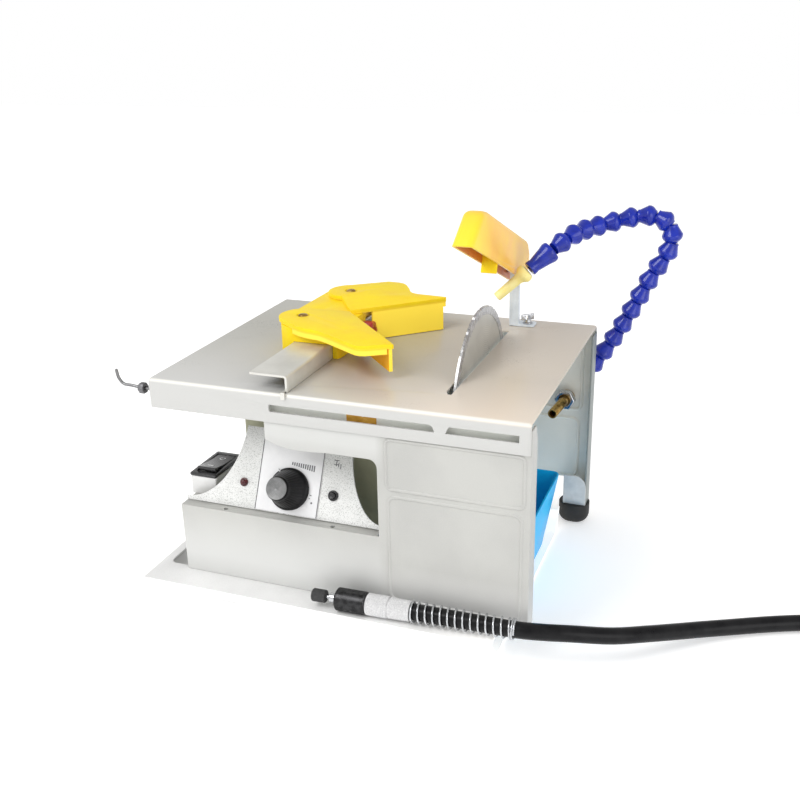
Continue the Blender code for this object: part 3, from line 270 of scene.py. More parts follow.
def rounded_outline(x_low, x_high, y_low, y_high, radius, steps=6):
    """A rectangle's outline with round corners."""
    left, right, low, high = x_low + radius, x_high - radius, y_low + radius, y_high - radius
    points = []
    for k, corner in enumerate(((right, low), (right, high), (left, high), (left, low))):
        points += arc(corner, radius, 90 * k - 90, 90 * k, steps)
    return points


def smooth_line(points, step):
    """Evenly spaced points on a Catmull-Rom curve through the given points."""
    points = [Vector(p) for p in points]
    padded = [points[0] * 2 - points[1], *points, points[-1] * 2 - points[-2]]
    fine = []
    for i in range(1, len(padded) - 2):
        a, b, c, d = padded[i - 1 : i + 3]
        for k in range(24):
            t = k / 24
            square, cube = t * t, t * t * t
            spot = b * 2 + (c - a) * t + (a * 2 - b * 5 + c * 4 - d) * square
            fine.append((spot + (b * 3 - a - c * 3 + d) * cube) * 0.5)
    fine.append(padded[-2])
    return spaced(fine, step)


def spaced(fine, step):
    """Points at an even distance along a line."""
    lengths = [0]
    for before, after in zip(fine, fine[1:]):
        lengths.append(lengths[-1] + (after - before).length)
    count = max(2, ceil(lengths[-1] / step))
    line, j = [], 0
    for i in range(count + 1):
        wanted = lengths[-1] * i / count
        while j < len(lengths) - 2 and lengths[j + 1] < wanted:
            j += 1
        share = (wanted - lengths[j]) / max(lengths[j + 1] - lengths[j], 1e-9)
        line.append(fine[j].lerp(fine[j + 1], min(share, 1)))
    return line


def swept(line, radii, sides=20):
    """A round tube along a line, with its own radius at each point and closed ends."""
    mesh = bmesh.new()
    side = None
    rings = []
    for i, spot in enumerate(line):
        ahead = (line[min(i + 1, len(line) - 1)] - line[max(i - 1, 0)]).normalized()
        if side is None:
            side = ahead.cross(Vector((0, 0, 1)))
            if side.length < 0.1:
                side = ahead.cross(Vector((0, 1, 0)))
        side = (side - ahead * side.dot(ahead)).normalized()
        other = ahead.cross(side)
        angles = [2 * pi * k / sides for k in range(sides)]
        rings.append([mesh.verts.new(spot + (side * cos(a) + other * sin(a)) * radii[i]) for a in angles])
    return skin(mesh, rings, caps=True)


def merged(*meshes):
    """Several meshes in one, each still a body of its own."""
    whole = meshes[0]
    for extra in meshes[1:]:
        carrier = bpy.data.meshes.new("carrier")
        extra.to_mesh(carrier)
        extra.free()
        whole.from_mesh(carrier)
        bpy.data.meshes.remove(carrier)
    return whole


def linked(name, data):
    made = bpy.data.objects.new(name, data)
    bpy.context.scene.collection.objects.link(made)
    return made


def to_object(name, mesh):
    bmesh.ops.scale(mesh, verts=mesh.verts, vec=(MM, MM, MM))
    bmesh.ops.recalc_face_normals(mesh, faces=mesh.faces)
    data = bpy.data.meshes.new(name)
    mesh.to_mesh(data)
    mesh.free()
    return linked(name, data)


def apply_modifiers(item):
    graph = bpy.context.evaluated_depsgraph_get()
    graph.update()
    data = bpy.data.meshes.new_from_object(item.evaluated_get(graph))
    old = item.data
    item.modifiers.clear()
    item.data = data
    bpy.data.meshes.remove(old)


def make(name, mesh, look, cad=None, body="body", joins=(), cuts=(), edge=0, steps=2, smooth=35):
    """A finished piece: joined, cut, its edges rounded by edge, in its look, riding on body if there is one.

    cad is the CAD node that it stands for, if any.
    """
    made = to_object(name, mesh)
    tools = []
    for operation, shapes in (("UNION", joins), ("DIFFERENCE", cuts)):
        for shape in shapes:
            tool = to_object("tool", shape)
            change = made.modifiers.new(operation.lower(), "BOOLEAN")
            change.operation = operation
            change.solver = "EXACT"
            change.object = tool
            tools.append(tool)
    if edge:
        bevel = made.modifiers.new("bevel", "BEVEL")
        bevel.width = edge * MM
        bevel.segments = steps
        bevel.limit_method = "ANGLE"
        bevel.angle_limit = radians(35)
    if made.modifiers:
        apply_modifiers(made)
    for tool in tools:
        data = tool.data
        bpy.data.objects.remove(tool)
        bpy.data.meshes.remove(data)
    made.data.materials.clear()
    made.data.materials.append(LOOKS[look])
    made.data.shade_smooth()
    made.data.set_sharp_from_angle(angle=radians(smooth))
    if body:
        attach(made, body)
    if cad:
        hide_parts(cad)
    return made


def lathe(body, where, *pieces):
    """Plain turned pieces on one body, each (name, CAD node, look, sides, profile)."""
    for name, cad, look, sides, profile in pieces:
        make(name, turned(profile, where, sides), look, cad, body)


def repaint(made, look, chosen):
    """Gives the faces that chosen(centre in millimetres, normal) picks a second look."""
    made.data.materials.append(LOOKS[look])
    for face in made.data.polygons:
        if chosen(face.center / MM, face.normal):
            face.material_index = 1


# ---- looks ----

LOOKS = {}


def feed(tree, socket, value):
    """Links a socket to another node's, or sets its value."""
    if isinstance(value, bpy.types.NodeSocket):
        tree.links.new(value, socket)
    else:
        socket.default_value = value


def node(tree, kind, **inputs):
    made = tree.nodes.new(kind)
    for name, value in inputs.items():
        feed(tree, made.inputs[name], value)
    return made


def maths(tree, operation, *values, kind="ShaderNodeMath"):
    made = node(tree, kind)
    made.operation = operation
    for socket, value in zip(made.inputs, values):
        feed(tree, socket, value)
    return made.outputs["Value"]


def distance(tree, spot, centre):
    return maths(tree, "DISTANCE", spot, centre * MM, kind="ShaderNodeVectorMath")


def cloud(tree, spot, size, detail=4, stretch=None, rough=0.55):
    """Noise with features of about size millimetres."""
    if stretch:
        spot = node(tree, "ShaderNodeMapping", Vector=spot, Scale=stretch).outputs["Vector"]
    made = node(tree, "ShaderNodeTexNoise", Vector=spot, Scale=1000 / size, Detail=detail, Roughness=rough)
    return made.outputs["Fac"]


def between(tree, value, low, high, out_low=0, out_high=1):
    ends = {"From Min": low, "From Max": high, "To Min": out_low, "To Max": out_high}
    return node(tree, "ShaderNodeMapRange", Value=value, **ends).outputs["Result"]


def tint(tree, share, first, second):
    """Mixes two colours, each given as three numbers or as a socket."""
    made = node(tree, "ShaderNodeMix")
    made.data_type = "RGBA"
    for place, value in ((0, share), (6, first), (7, second)):
        feed(tree, made.inputs[place], (*value, 1) if isinstance(value, tuple) else value)
    return made.outputs[2]


def surface(name, dark, light, rough, patch, grain, relief, metal=0, stretch=None, fleck=None, scuff=None,
            coat=0, sheen=0, shine=0.5, glow=None, extra=None):
    """A material whose tone drifts between two colours, with a grain that also roughens it.

    rough is its range; patch and grain are the sizes of the drift and the grain. fleck is (colour, share,
    size) for fine specks, and scuff is (colour, share) for long faint rub marks. shine is the strength of its
    reflections, glow(tree, spot) how strongly it glows as painted light, and
    extra(tree, spot, colour) may add to the colour, painted light and shade among it.
    """
    made = bpy.data.materials.new(name)
    made.use_nodes = True
    tree = made.node_tree
    spot = node(tree, "ShaderNodeTexCoord").outputs["Object"]
    drift, fine = cloud(tree, spot, patch), cloud(tree, spot, grain, 3, stretch)
    colour = tint(tree, between(tree, drift, 0.36, 0.64), dark, light)
    if fleck:
        speck = cloud(tree, spot, fleck[2], 2)
        colour = tint(tree, between(tree, speck, 0.52, 0.66, 0, fleck[1]), colour, fleck[0])
    if scuff:
        rub = cloud(tree, spot, 9, 6, (0.25, 6, 1), 0.75)
        colour = tint(tree, between(tree, rub, 0.6, 0.72, 0, scuff[1]), colour, scuff[0])
    if extra:
        colour = extra(tree, spot, colour)
    uneven = maths(tree, "ADD", fine, drift)
    bump = node(tree, "ShaderNodeBump", Strength=1, Distance=relief * MM, Height=fine)
    values = {"Base Color": colour, "Metallic": metal, "Specular IOR Level": shine, "Sheen Weight": sheen,
              "Coat Weight": coat, "Coat Roughness": 0.12, "Normal": bump.outputs["Normal"],
              "Roughness": between(tree, uneven, 0.7, 1.3, *rough)}
    if glow:
        values.update({"Emission Color": colour, "Emission Strength": glow(tree, spot)})
    for socket, value in values.items():
        feed(tree, tree.nodes["Principled BSDF"].inputs[socket], value)
    LOOKS[name] = made


def fade(tree, spot, axis, start, end, most=1):
    """Runs from nothing to most between two places along an axis."""
    place = node(tree, "ShaderNodeSeparateXYZ", Vector=spot).outputs[axis]
    return between(tree, place, start * MM, end * MM, 0, most)


def shaded(axis, start, end, most, second):
    """Lets a colour run into a second one along an axis."""
    return lambda tree, spot, colour: tint(tree, fade(tree, spot, axis, start, end, most), colour, second)


def glowing(*run):
    """Painted light: a glow that runs from nothing to most along an axis."""
    return lambda tree, spot: fade(tree, spot, *run)


def rings_round(centre, size, dark, share):
    """Concentric rings about a point, for a turned face."""

    def paint(tree, spot, colour):
        scaled = between(tree, distance(tree, spot, centre), 0, size * MM, 0, 2 * pi)
        scaled.node.clamp = False
        return tint(tree, between(tree, maths(tree, "SINE", scaled), -1, 1, 0, share), colour, dark)

    return paint


def body_tone_and_painted_light(tree, spot, colour):
    """The casing is paler on its hood, and painted light makes it paler towards the bench, higher up on its
    left half.
    """
    # Painted light: paler towards the bench, from higher up on the left half.
    left = tint(tree, fade(tree, spot, "Z", 82, 40, 0.9), colour, (0.66, 0.665, 0.65))
    left = tint(tree, fade(tree, spot, "Z", 140, 160, 0.75), left, (0.6, 0.605, 0.59))
    right = tint(tree, fade(tree, spot, "Z", 62, 24, 0.85), colour, (0.74, 0.74, 0.73))
    return tint(tree, fade(tree, spot, "X", 46, 38), right, left)


def table_tone_and_painted_light(tree, spot, colour):
    """The table's paint, warmer and paler on its right; painted light: a lighter front, a pool of light at
    its front left, a paler skirt and a highlight on the front bend.
    """
    colour = tint(tree, fade(tree, spot, "X", -10, 95, 0.65), colour, (0.75, 0.665, 0.565))
    # Painted light: lighter towards the front, most of all at the front right.
    front = tint(tree, fade(tree, spot, "X", -60, 90), (0.6, 0.6, 0.58), (0.95, 0.82, 0.69))
    colour = tint(tree, fade(tree, spot, "Y", -40, -130, 0.55), colour, front)
    # Painted light: a pool of light at the front left.
    away = distance(tree, spot, Vector((-120, -150, TABLE_TOP)))
    light_pool = between(tree, away, 190 * MM, 30 * MM, 0, 0.8)
    colour = tint(tree, light_pool, colour, (0.6, 0.6, 0.59))
    # Painted light: the skirt is paler.
    lit_skirt = fade(tree, spot, "Z", TABLE_TOP - 1.2, TABLE_TOP - 3.5)
    colour = tint(tree, lit_skirt, colour, (0.535, 0.535, 0.52))
    # Painted highlight along the front bend.
    bend_highlight = tint(tree, fade(tree, spot, "Z", 193.2, 194.6), colour, (0.8, 0.79, 0.73))
    return tint(tree, fade(tree, spot, "Y", -122.2, -123.6, 0.85), colour, bend_highlight)


def make_looks():
    knob_face = SLOPE @ Vector((KNOB_X, CONTROL_ROW, 27.4))
    axis = Vector((BLADE_X, 0, SPINDLE_Z))
    surface("table_paint", (0.355, 0.35, 0.31), (0.405, 0.4, 0.36), (0.26, 0.42), 60, 0.9, 0.02,
            fleck=((0.56, 0.55, 0.5), 0.25, 0.6), scuff=((0.58, 0.57, 0.52), 0.2), coat=0.15,
            extra=table_tone_and_painted_light)
    surface("body_paint", (0.44, 0.44, 0.42), (0.49, 0.49, 0.465), (0.34, 0.5), 70, 0.9, 0.02,
            fleck=((0.62, 0.62, 0.6), 0.2, 0.7), coat=0.1, extra=body_tone_and_painted_light)
    # Painted light: the pan turns paler and glows towards its right end, where it stands in shade.
    surface("pan_white", (0.76, 0.76, 0.755), (0.83, 0.83, 0.825), (0.36, 0.5), 50, 0.9, 0.02,
            fleck=((0.64, 0.64, 0.62), 0.25, 0.8), scuff=((0.62, 0.62, 0.6), 0.2),
            glow=glowing("X", 60, 130, 0.4), extra=shaded("X", 40, 130, 0.9, (0.93, 0.92, 0.9)))
    # Painted shade: the right flange's outer strip is darker.
    surface("rear_paint", (0.82, 0.84, 0.78), (0.88, 0.89, 0.83), (0.34, 0.5), 45, 0.9, 0.02,
            fleck=((0.74, 0.77, 0.76), 0.25, 0.7), extra=shaded("X", 157.6, 158.3, 1, (0.25, 0.28, 0.275)))
    # Olive for the sheet that stands as painted shade behind the window.
    surface("window_shade_olive", (0.38, 0.38, 0.26), (0.5, 0.5, 0.35), (0.5, 0.7), 40, 0.9, 0.04)
    surface("panel_silver", (0.71, 0.715, 0.7), (0.77, 0.775, 0.76), (0.36, 0.52), 25, 1.1, 0.06, metal=0.1,
            fleck=((0.36, 0.37, 0.35), 0.85, 0.8))
    surface("label_pale", (0.8, 0.8, 0.81), (0.85, 0.85, 0.855), (0.35, 0.5), 14, 0.5, 0.01,
            fleck=((0.74, 0.75, 0.76), 0.3, 0.5))
    surface("label_ink", (0.1, 0.1, 0.11), (0.17, 0.17, 0.18), (0.4, 0.55), 4, 0.3, 0.01)
    surface("knob_black", (0.003, 0.003, 0.0035), (0.008, 0.008, 0.009), (0.3, 0.46), 6, 0.35, 0.02,
            shine=0.22)
    surface("chuck_black", (0.02, 0.02, 0.021), (0.05, 0.05, 0.052), (0.22, 0.38), 4, 0.35, 0.02, metal=0.7)
    surface("cap_grey", (0.2, 0.205, 0.205), (0.29, 0.29, 0.29), (0.28, 0.42), 5, 0.25, 0.01, metal=0.55,
            extra=rings_round(knob_face, 1.1, (0.12, 0.12, 0.12), 0.55))
    surface("dark_steel", (0.1, 0.1, 0.105), (0.19, 0.19, 0.2), (0.3, 0.5), 8, 0.5, 0.02, metal=0.9,
            fleck=((0.3, 0.29, 0.27), 0.3, 0.6))
    surface("hook_steel", (0.16, 0.16, 0.165), (0.27, 0.27, 0.275), (0.25, 0.45), 6, 0.4, 0.02, metal=0.95,
            fleck=((0.4, 0.4, 0.4), 0.4, 0.8))
    surface("bright_steel", (0.5, 0.51, 0.53), (0.62, 0.63, 0.65), (0.16, 0.32), 12, 0.5, 0.01, metal=1,
            stretch=(1, 1, 14), fleck=((0.38, 0.38, 0.38), 0.3, 0.8))
    surface("post_steel", (0.69, 0.76, 0.83), (0.8, 0.87, 0.93), (0.3, 0.46), 10, 0.5, 0.01, metal=0.35,
            stretch=(14, 1, 1))
    surface("blade_steel", (0.55, 0.545, 0.5), (0.66, 0.655, 0.6), (0.26, 0.42), 25, 0.6, 0.01, metal=0.6,
            extra=rings_round(axis, 1.6, (0.26, 0.26, 0.25), 0.35))
    surface("blade_rim", (0.42, 0.42, 0.42), (0.66, 0.66, 0.67), (0.22, 0.42), 3, 0.4, 0.08, metal=0.9,
            fleck=((0.2, 0.2, 0.2), 0.5, 0.5))
    surface("lamp_red", (0.05, 0.002, 0.004), (0.1, 0.004, 0.007), (0.12, 0.25), 3, 0.4, 0.005, coat=0.2)
    surface("switch_black", (0.008, 0.008, 0.009), (0.018, 0.018, 0.02), (0.16, 0.34), 9, 0.4, 0.02,
            coat=0.3)
    surface("toe_grey", (0.58, 0.6, 0.6), (0.68, 0.7, 0.7), (0.3, 0.45), 9, 0.5, 0.02)
    surface("box_grey", (0.68, 0.68, 0.67), (0.74, 0.74, 0.73), (0.4, 0.55), 15, 0.5, 0.03)
    surface("aluminium", (0.52, 0.52, 0.49), (0.62, 0.62, 0.59), (0.28, 0.44), 30, 0.5, 0.015, metal=0.75,
            stretch=(16, 1, 16), fleck=((0.7, 0.7, 0.68), 0.25, 0.6))
    surface("fence_metal", (0.6, 0.595, 0.55), (0.7, 0.695, 0.65), (0.3, 0.46), 30, 0.5, 0.015, metal=0.45,
            stretch=(16, 1, 16), fleck=((0.78, 0.77, 0.74), 0.25, 0.6))
    surface("brass", (0.34, 0.2, 0.05), (0.62, 0.43, 0.15), (0.2, 0.42), 7, 0.5, 0.02, metal=1,
            fleck=((0.16, 0.09, 0.03), 0.5, 1.6))
    # Painted light on the wings: their walls and rims below the plate glow and turn paler yellow.
    walls_painted_light = {"glow": glowing("Z", 223, 221, 0.25),
                  "extra": shaded("Z", 224, 221, 1, (0.99, 0.765, 0.075))}
    for name, more in (("guide_yellow", {}), ("wing_yellow", walls_painted_light)):
        surface(name, (0.94, 0.67, 0.008), (0.97, 0.74, 0.012), (0.4, 0.56), 28, 0.7, 0.02,
                fleck=((0.99, 0.84, 0.04), 0.3, 0.8), scuff=((0.99, 0.88, 0.1), 0.15), shine=0.22, **more)
    surface("nozzle_pale", (0.94, 0.8, 0.26), (0.97, 0.87, 0.38), (0.3, 0.46), 9, 0.5, 0.02,
            fleck=((0.99, 0.92, 0.55), 0.3, 0.8), shine=0.4)
    surface("guard_orange", (0.94, 0.5, 0.035), (0.97, 0.6, 0.05), (0.28, 0.44), 30, 0.7, 0.02,
            fleck=((0.98, 0.68, 0.12), 0.25, 0.8), extra=shaded("Y", -8, -44, 0.8, (0.97, 0.78, 0.03)))
    # Painted shade, red-orange, for the inside of the guard's hood.
    surface("guard_painted_shade", (0.62, 0.16, 0.02), (0.76, 0.24, 0.03), (0.4, 0.55), 20, 0.7, 0.02)
    # Painted shade, a deeper orange, for the wings' undersides and the inner faces of their walls.
    surface("guide_painted_shade", (0.92, 0.42, 0.015), (0.97, 0.52, 0.03), (0.4, 0.55), 20, 0.7, 0.02, shine=0.2)
    # Painted shade for the fence rail's inner faces under its top flange.
    surface("fence_painted_shade", (0.035, 0.035, 0.032), (0.06, 0.06, 0.055), (0.45, 0.6), 20, 0.7, 0.02,
            shine=0.2)
    surface("tray_blue", (0.004, 0.43, 0.88), (0.01, 0.52, 0.96), (0.3, 0.45), 30, 0.7, 0.03,
            scuff=((0.03, 0.62, 0.98), 0.2), shine=0.12)
    surface("hose_blue", (0.003, 0.014, 0.27), (0.006, 0.024, 0.39), (0.16, 0.28), 9, 0.5, 0.01, coat=0.25,
            shine=0.35)
    surface("clamp_red", (0.3, 0.014, 0.008), (0.44, 0.03, 0.015), (0.22, 0.4), 5, 0.4, 0.02, coat=0.2)
    surface("sheath_black", (0.004, 0.004, 0.005), (0.011, 0.011, 0.012), (0.26, 0.4), 14, 0.6, 0.03,
            coat=0.05, shine=0.16)
    surface("tie_black", (0.012, 0.012, 0.013), (0.03, 0.03, 0.032), (0.7, 0.9), 3, 0.35, 0.12, sheen=0.3)
    surface("black_rubber", (0.006, 0.006, 0.006), (0.016, 0.016, 0.016), (0.5, 0.75), 6, 0.5, 0.05)
    surface("sleeve_silver", (0.56, 0.56, 0.565), (0.7, 0.7, 0.705), (0.5, 0.66), 1.2, 0.6, 0.12,
            metal=0.2, fleck=((0.85, 0.85, 0.85), 0.6, 0.8))
    surface("stone_black", (0.012, 0.012, 0.013), (0.035, 0.035, 0.035), (0.6, 0.85), 3, 0.35, 0.15,
            fleck=((0.14, 0.14, 0.14), 0.5, 0.3))
    surface("motor_dark", (0.03, 0.032, 0.026), (0.06, 0.06, 0.05), (0.4, 0.6), 12, 0.7, 0.05, metal=0.2)
    surface("amber_patch", (0.6, 0.3, 0.04), (0.74, 0.42, 0.07), (0.35, 0.5), 5, 0.4, 0.01)


# ---- camera, light and floor ----


def make_camera():
    azimuth, pitch, roll = (radians(angle) for angle in CAMERA_TURN)
    forward = -Vector((sin(azimuth) * cos(pitch), -cos(azimuth) * cos(pitch), sin(pitch)))
    right = Vector((cos(azimuth), sin(azimuth), 0))
    above = right.cross(forward)
    level = right * cos(roll) + above * sin(roll)
    above = above * cos(roll) - right * sin(roll)
    made = linked("camera", bpy.data.cameras.new("camera"))
    made.data.sensor_width = 36
    made.data.lens = CAMERA_LENS
    made.matrix_world = frame_of(level, above, -forward, CAMERA_AT)
    bpy.context.scene.camera = made


def area_light(name, at, towards, size, power):
    made = linked(name, bpy.data.lights.new(name, "AREA"))
    made.data.size = size
    made.data.energy = power
    made.matrix_world = aim(at, Vector(at) - Vector(towards))


def make_light():
    world = bpy.data.worlds.new("studio")
    world.use_nodes = True
    tree = world.node_tree
    share = fade(tree, node(tree, "ShaderNodeTexCoord").outputs["Generated"], "Z", 120, 450)
    back = tree.nodes["Background"].inputs
    feed(tree, back["Color"], tint(tree, share, (1, 1, 1), (0.64, 0.635, 0.63)))
    back["Strength"].default_value = 1
    bpy.context.scene.world = world
    area_light("key", (-0.75, -1.15, 1.6), (0, 0, 0.12), 1, 19)
    area_light("fill", (1.7, -1, 0.75), (0.05, 0, 0.12), 1.2, 9)
    bpy.context.scene.view_settings.view_transform = "Standard"


def make_floor():
    mesh = bmesh.new()
    reach = 4000
    spots = [(-reach, -reach), (reach, -reach), (reach, reach), (-reach, reach)]
    mesh.faces.new([mesh.verts.new((x, y, -0.2)) for x, y in spots])
    made = to_object("floor", mesh)
    surface("floor_white", (0.86, 0.86, 0.86), (0.89, 0.89, 0.89), (0.6, 0.75), 400, 3, 0.02)
    shader = LOOKS["floor_white"].node_tree.nodes["Principled BSDF"]
    shader.inputs["Emission Color"].default_value = (1, 1, 1, 1)
    shader.inputs["Emission Strength"].default_value = FLOOR_GLOW
    made.data.materials.append(LOOKS["floor_white"])


# ---- flexible shaft ----


def coil_point(angle, z):
    return COIL_CENTRE + Vector((COIL_RADIUS * cos(angle), COIL_RADIUS * sin(angle), z))


def sheath_line():
    """The free route, one turn that climbs at its end, and the arc that lies on top of it."""
    quarter = radians(-90)
    line = smooth_line([*SHEATH_ROUTE, coil_point(quarter, COIL_LOW)], 7)
    steps, climb = 60, 0.26
    for i in range(1, steps + 1):
        share = min(max((i / steps - 1 + climb) / (climb - 0.01), 0), 1)
        rise = share * share * (3 - 2 * share)
        line.append(coil_point(quarter + 2 * pi * i / steps, COIL_LOW + (COIL_HIGH - COIL_LOW) * rise))
    steps = 26
    return line + [coil_point(quarter + TAIL_ARC * i / steps, COIL_HIGH) for i in range(1, steps + 1)]


def make_sheath():
    line = sheath_line()
    data = bpy.data.curves.new("flex_shaft_sheath", "CURVE")
    data.dimensions = "3D"
    data.bevel_depth = SHEATH_RADIUS * MM
    data.bevel_resolution = 7
    data.use_fill_caps = True
    spline = data.splines.new("POLY")
    spline.points.add(len(line) - 1)
    for point, spot in zip(spline.points, line):
        point.co = (*(spot * MM), 1)
    spline.use_smooth = True
    data.materials.append(LOOKS["sheath_black"])
    made = linked("flex_shaft_sheath", data)
    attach(made, "body")
    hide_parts("flex_sheath", "flex_coil", "flex_tail")
    coupling = make_coupling()
    tie = make_tie()


def make_coupling():
    """The ferrule and bayonet coupling on the shaft's free end, with its square drive tip."""
    angle = radians(-90) + TAIL_ARC
    where = aim(coil_point(angle, COIL_HIGH + 0.6), Vector((-sin(angle), cos(angle), 0)))
    body = [(0, 0.9), (6.2, 0.9), (6.5, 1.3), (7, 2.4)]
    for i in range(6):
        body += [(radius, height + 3 * i) for radius, height in ((7, 4), (6.6, 4.4), (6.6, 5.2), (7, 5.6))]
    body += [(7, 24), (6.6, 25), (6.6, 36.4), (6, 38), (2, 38), (2, 47.4), (1.6, 48), (0, 48)]
    return make("shaft_coupling", turned(body, where, 48), "bright_steel", "drive_coupling")


def make_tie():
    """A soft strap round the turn and the arc on top of it."""
    angle = radians(-8)
    out, back = Vector((cos(angle), sin(angle), 0)), Vector((sin(angle), -cos(angle), 0))
    where = frame_of(out, Vector((0, 0, 1)), back, coil_point(angle, 0))
    outer = rounded_outline(-7.6, 7.6, 0.02, 27.8, 6.8, 8)
    inner = rounded_outline(-6.75, 6.75, 0.28, 26.95, 6.4, 8)
    return make("shaft_tie", prism(outer, -7, 7, where), "tie_black",
                cuts=[prism(inner, -8, 8, where)], smooth=40)


# ---- casing ----


def make_pan():
    top_x, top_y, height = (-170, 138), (-148, 92), 22
    foot_x, foot_y = (-153, 138), (-130, 80)
    room = frustum(SHEET, (foot_x[0] + SHEET, 155), (foot_y[0] + SHEET, foot_y[1] - SHEET),
                   height - SHEET, (top_x[0] + SHEET, 155), (top_y[0] + SHEET, top_y[1] - SHEET))
    mouth = prism(rounded_outline(top_x[0] + 8, 165, top_y[0] + 29, top_y[1] - 8, 6), 17, 27)
    make("pan_sheet", frustum(0, foot_x, foot_y, height, top_x, top_y), "pan_white", "base_pan",
         cuts=[room, mouth], edge=0.55, steps=3)


def rounded_top(low, high, radius, steps):
    """A block whose top edges and upright corners are rounded."""

    def pick(edge):
        return not all(abs(v.co.z - low[2]) < 0.01 for v in edge.verts)

    return block(low, high, radius, steps, pick)


def make_table():
    low = (-HALF_WIDTH, -HALF_DEPTH, TABLE_TOP - SKIRT)
    high = (HALF_WIDTH, HALF_DEPTH, TABLE_TOP)
    inner_low = (low[0] + SHEET, low[1] + SHEET, low[2] - 5)
    inner_high = (high[0] + 5, high[1] - SHEET, high[2] - SHEET)
    slot = [(81.3, -79.5), (84.3, -86.5), (87.3, -86.5), (87.3, 83.4), (81.3, 83.4)]
    cuts = [rounded_top(inner_low, inner_high, BEND - SHEET, 5), prism(slot, TABLE_TOP - 5, TABLE_TOP + 5)]
    low_z, high_z = 180.2, 186
    long_slot = arc((-48.6, low_z + 1.4), 1.4, 180, 270, 5) + [(86.3, low_z), (86.2, low_z + 1.4)]
    long_slot += arc((81.6, low_z + 1.6), 4.2, 20, 90, 6) + arc((-48.6, high_z - 1.4), 1.4, 90, 180, 5)
    short_slot = [(95, low_z), (150.4, low_z), (150.8, low_z + 0.4), (150.8, high_z - 0.4), (150.4, high_z)]
    short_slot += [(99.2, high_z), (98.2, high_z - 0.2), (97.4, high_z - 0.8)]
    for outline in (long_slot, short_slot):
        cuts.append(sheet_xz(outline, -HALF_DEPTH - 2, -HALF_DEPTH + 4))
    make("table_sheet", rounded_top(low, high, BEND, 8), "table_paint", "table_top",
         cuts=cuts, edge=0.22, steps=2, smooth=30)


def ridge(x_low, x_high, z_low, z_high, face_y, out, radius, width=3.4):
    """A rolled bead round a field of an upright sheet; out is its height, signed along Y."""
    mesh = bmesh.new()
    sunk = 0.25 if out > 0 else -0.25
    rings, steps = [], 8
    for k in range(steps + 1):
        inset = width * k / steps
        y = face_y + out * sin(pi * k / steps) - sunk
        spots = rounded_outline(x_low + inset, x_high - inset, z_low + inset, z_high - inset,
                                max(radius - inset, 0.5), 8)
        rings.append([mesh.verts.new((x, y, z)) for x, z in spots])
    return skin(mesh, rings, closed=True)


def make_front_panel():
    bottom, inside = 22 + GAP, FRONT_Y + SHEET / 2
    outline = [(BODY_LEFT, bottom), (HALF_WIDTH, bottom), (HALF_WIDTH, PANEL_TOP), (HOOD_LEFT, PANEL_TOP),
               (HOOD_LEFT, 155), (-46, 151.5), (-40, 150.1), (-33.5, 149.3), (-26, 149), (-18, 149.3),
               (-4, 150.3), (8, 150.4), (20, 150.3), *arc((WINDOW_RIGHT - 7, 142.8), (7, 7.5), 90, 0, 12),
               (WINDOW_RIGHT, LEDGE_Z), (BODY_LEFT, LEDGE_Z)]
    ledge = block((BODY_LEFT, inside, LEDGE_Z - SHEET), (WINDOW_RIGHT - 2, FRONT_Y + 14, LEDGE_Z))
    reach = FRONT_Y + RETURN_FLANGE
    side = [(inside, bottom), (reach, bottom), (reach, PANEL_TOP - 12), (reach - 6, PANEL_TOP),
            (inside, PANEL_TOP)]
    cuts = [sheet_xz(rounded_outline(-56, 153.5, 176.6, 185.8, 3), FRONT_Y - 3, FRONT_Y + 6)]
    for x in (-100.4, -2.6):
        cuts.append(rod((x, FRONT_Y + 4.3, LEDGE_Z - 6), (x, FRONT_Y + 4.3, LEDGE_Z + 6), 2))
    make("front_sheet", sheet_xz(outline, FRONT_Y, FRONT_Y + SHEET), "body_paint", "front_panel",
         joins=[ledge, sheet_yz(side, HALF_WIDTH - SHEET, HALF_WIDTH)], cuts=cuts, edge=0.3, steps=3)
    beads = merged(ridge(45, 157, 125.3, 170.5, FRONT_Y, -1.3, 6),
                   ridge(46, 155.5, 28, 122.6, FRONT_Y, -1.1, 8))
    make("front_beads", beads, "body_paint", smooth=60)
    make("slot_backing", block((-58, FRONT_Y + 5, 171), (155, FRONT_Y + 6.2, 190)), "rear_paint",
         edge=0.2)
    make("amber_tag", block((13.5, FRONT_Y + 4.5, 174), (38.2, FRONT_Y + 4.9, 188.5)), "amber_patch",
         cuts=[rod((27, FRONT_Y, 185), (27, FRONT_Y + 9, 185), 2.2)], edge=0.1)


def make_window_shade():
    """An olive sheet behind the window, put there as painted shade: it closes the view through the window."""
    face = sheet_xz(rounded_outline(-104, 40.6, 25, 193, 1), -70, -68.8)
    wing = block((39.4, -70, 78), (40.6, -52, 192.5))
    make("window_shade_sheet", face, "window_shade_olive", joins=[wing], edge=0.3)


def make_side_panel():
    back = BACK_Y - RETURN_FLANGE - 1
    start = FRONT_Y + 15
    top = 84
    outline = [(start, SHEET + GAP), (76, SHEET + GAP), (76, 28), (back, 28), (back, top), (start, top)]
    shelf = block((BODY_LEFT + SHEET / 2, start, top - SHEET), (-115, back, top))
    make("side_sheet", sheet_yz(outline, BODY_LEFT, BODY_LEFT + SHEET), "body_paint", "side_panel",
         joins=[shelf], edge=0.35, steps=3)


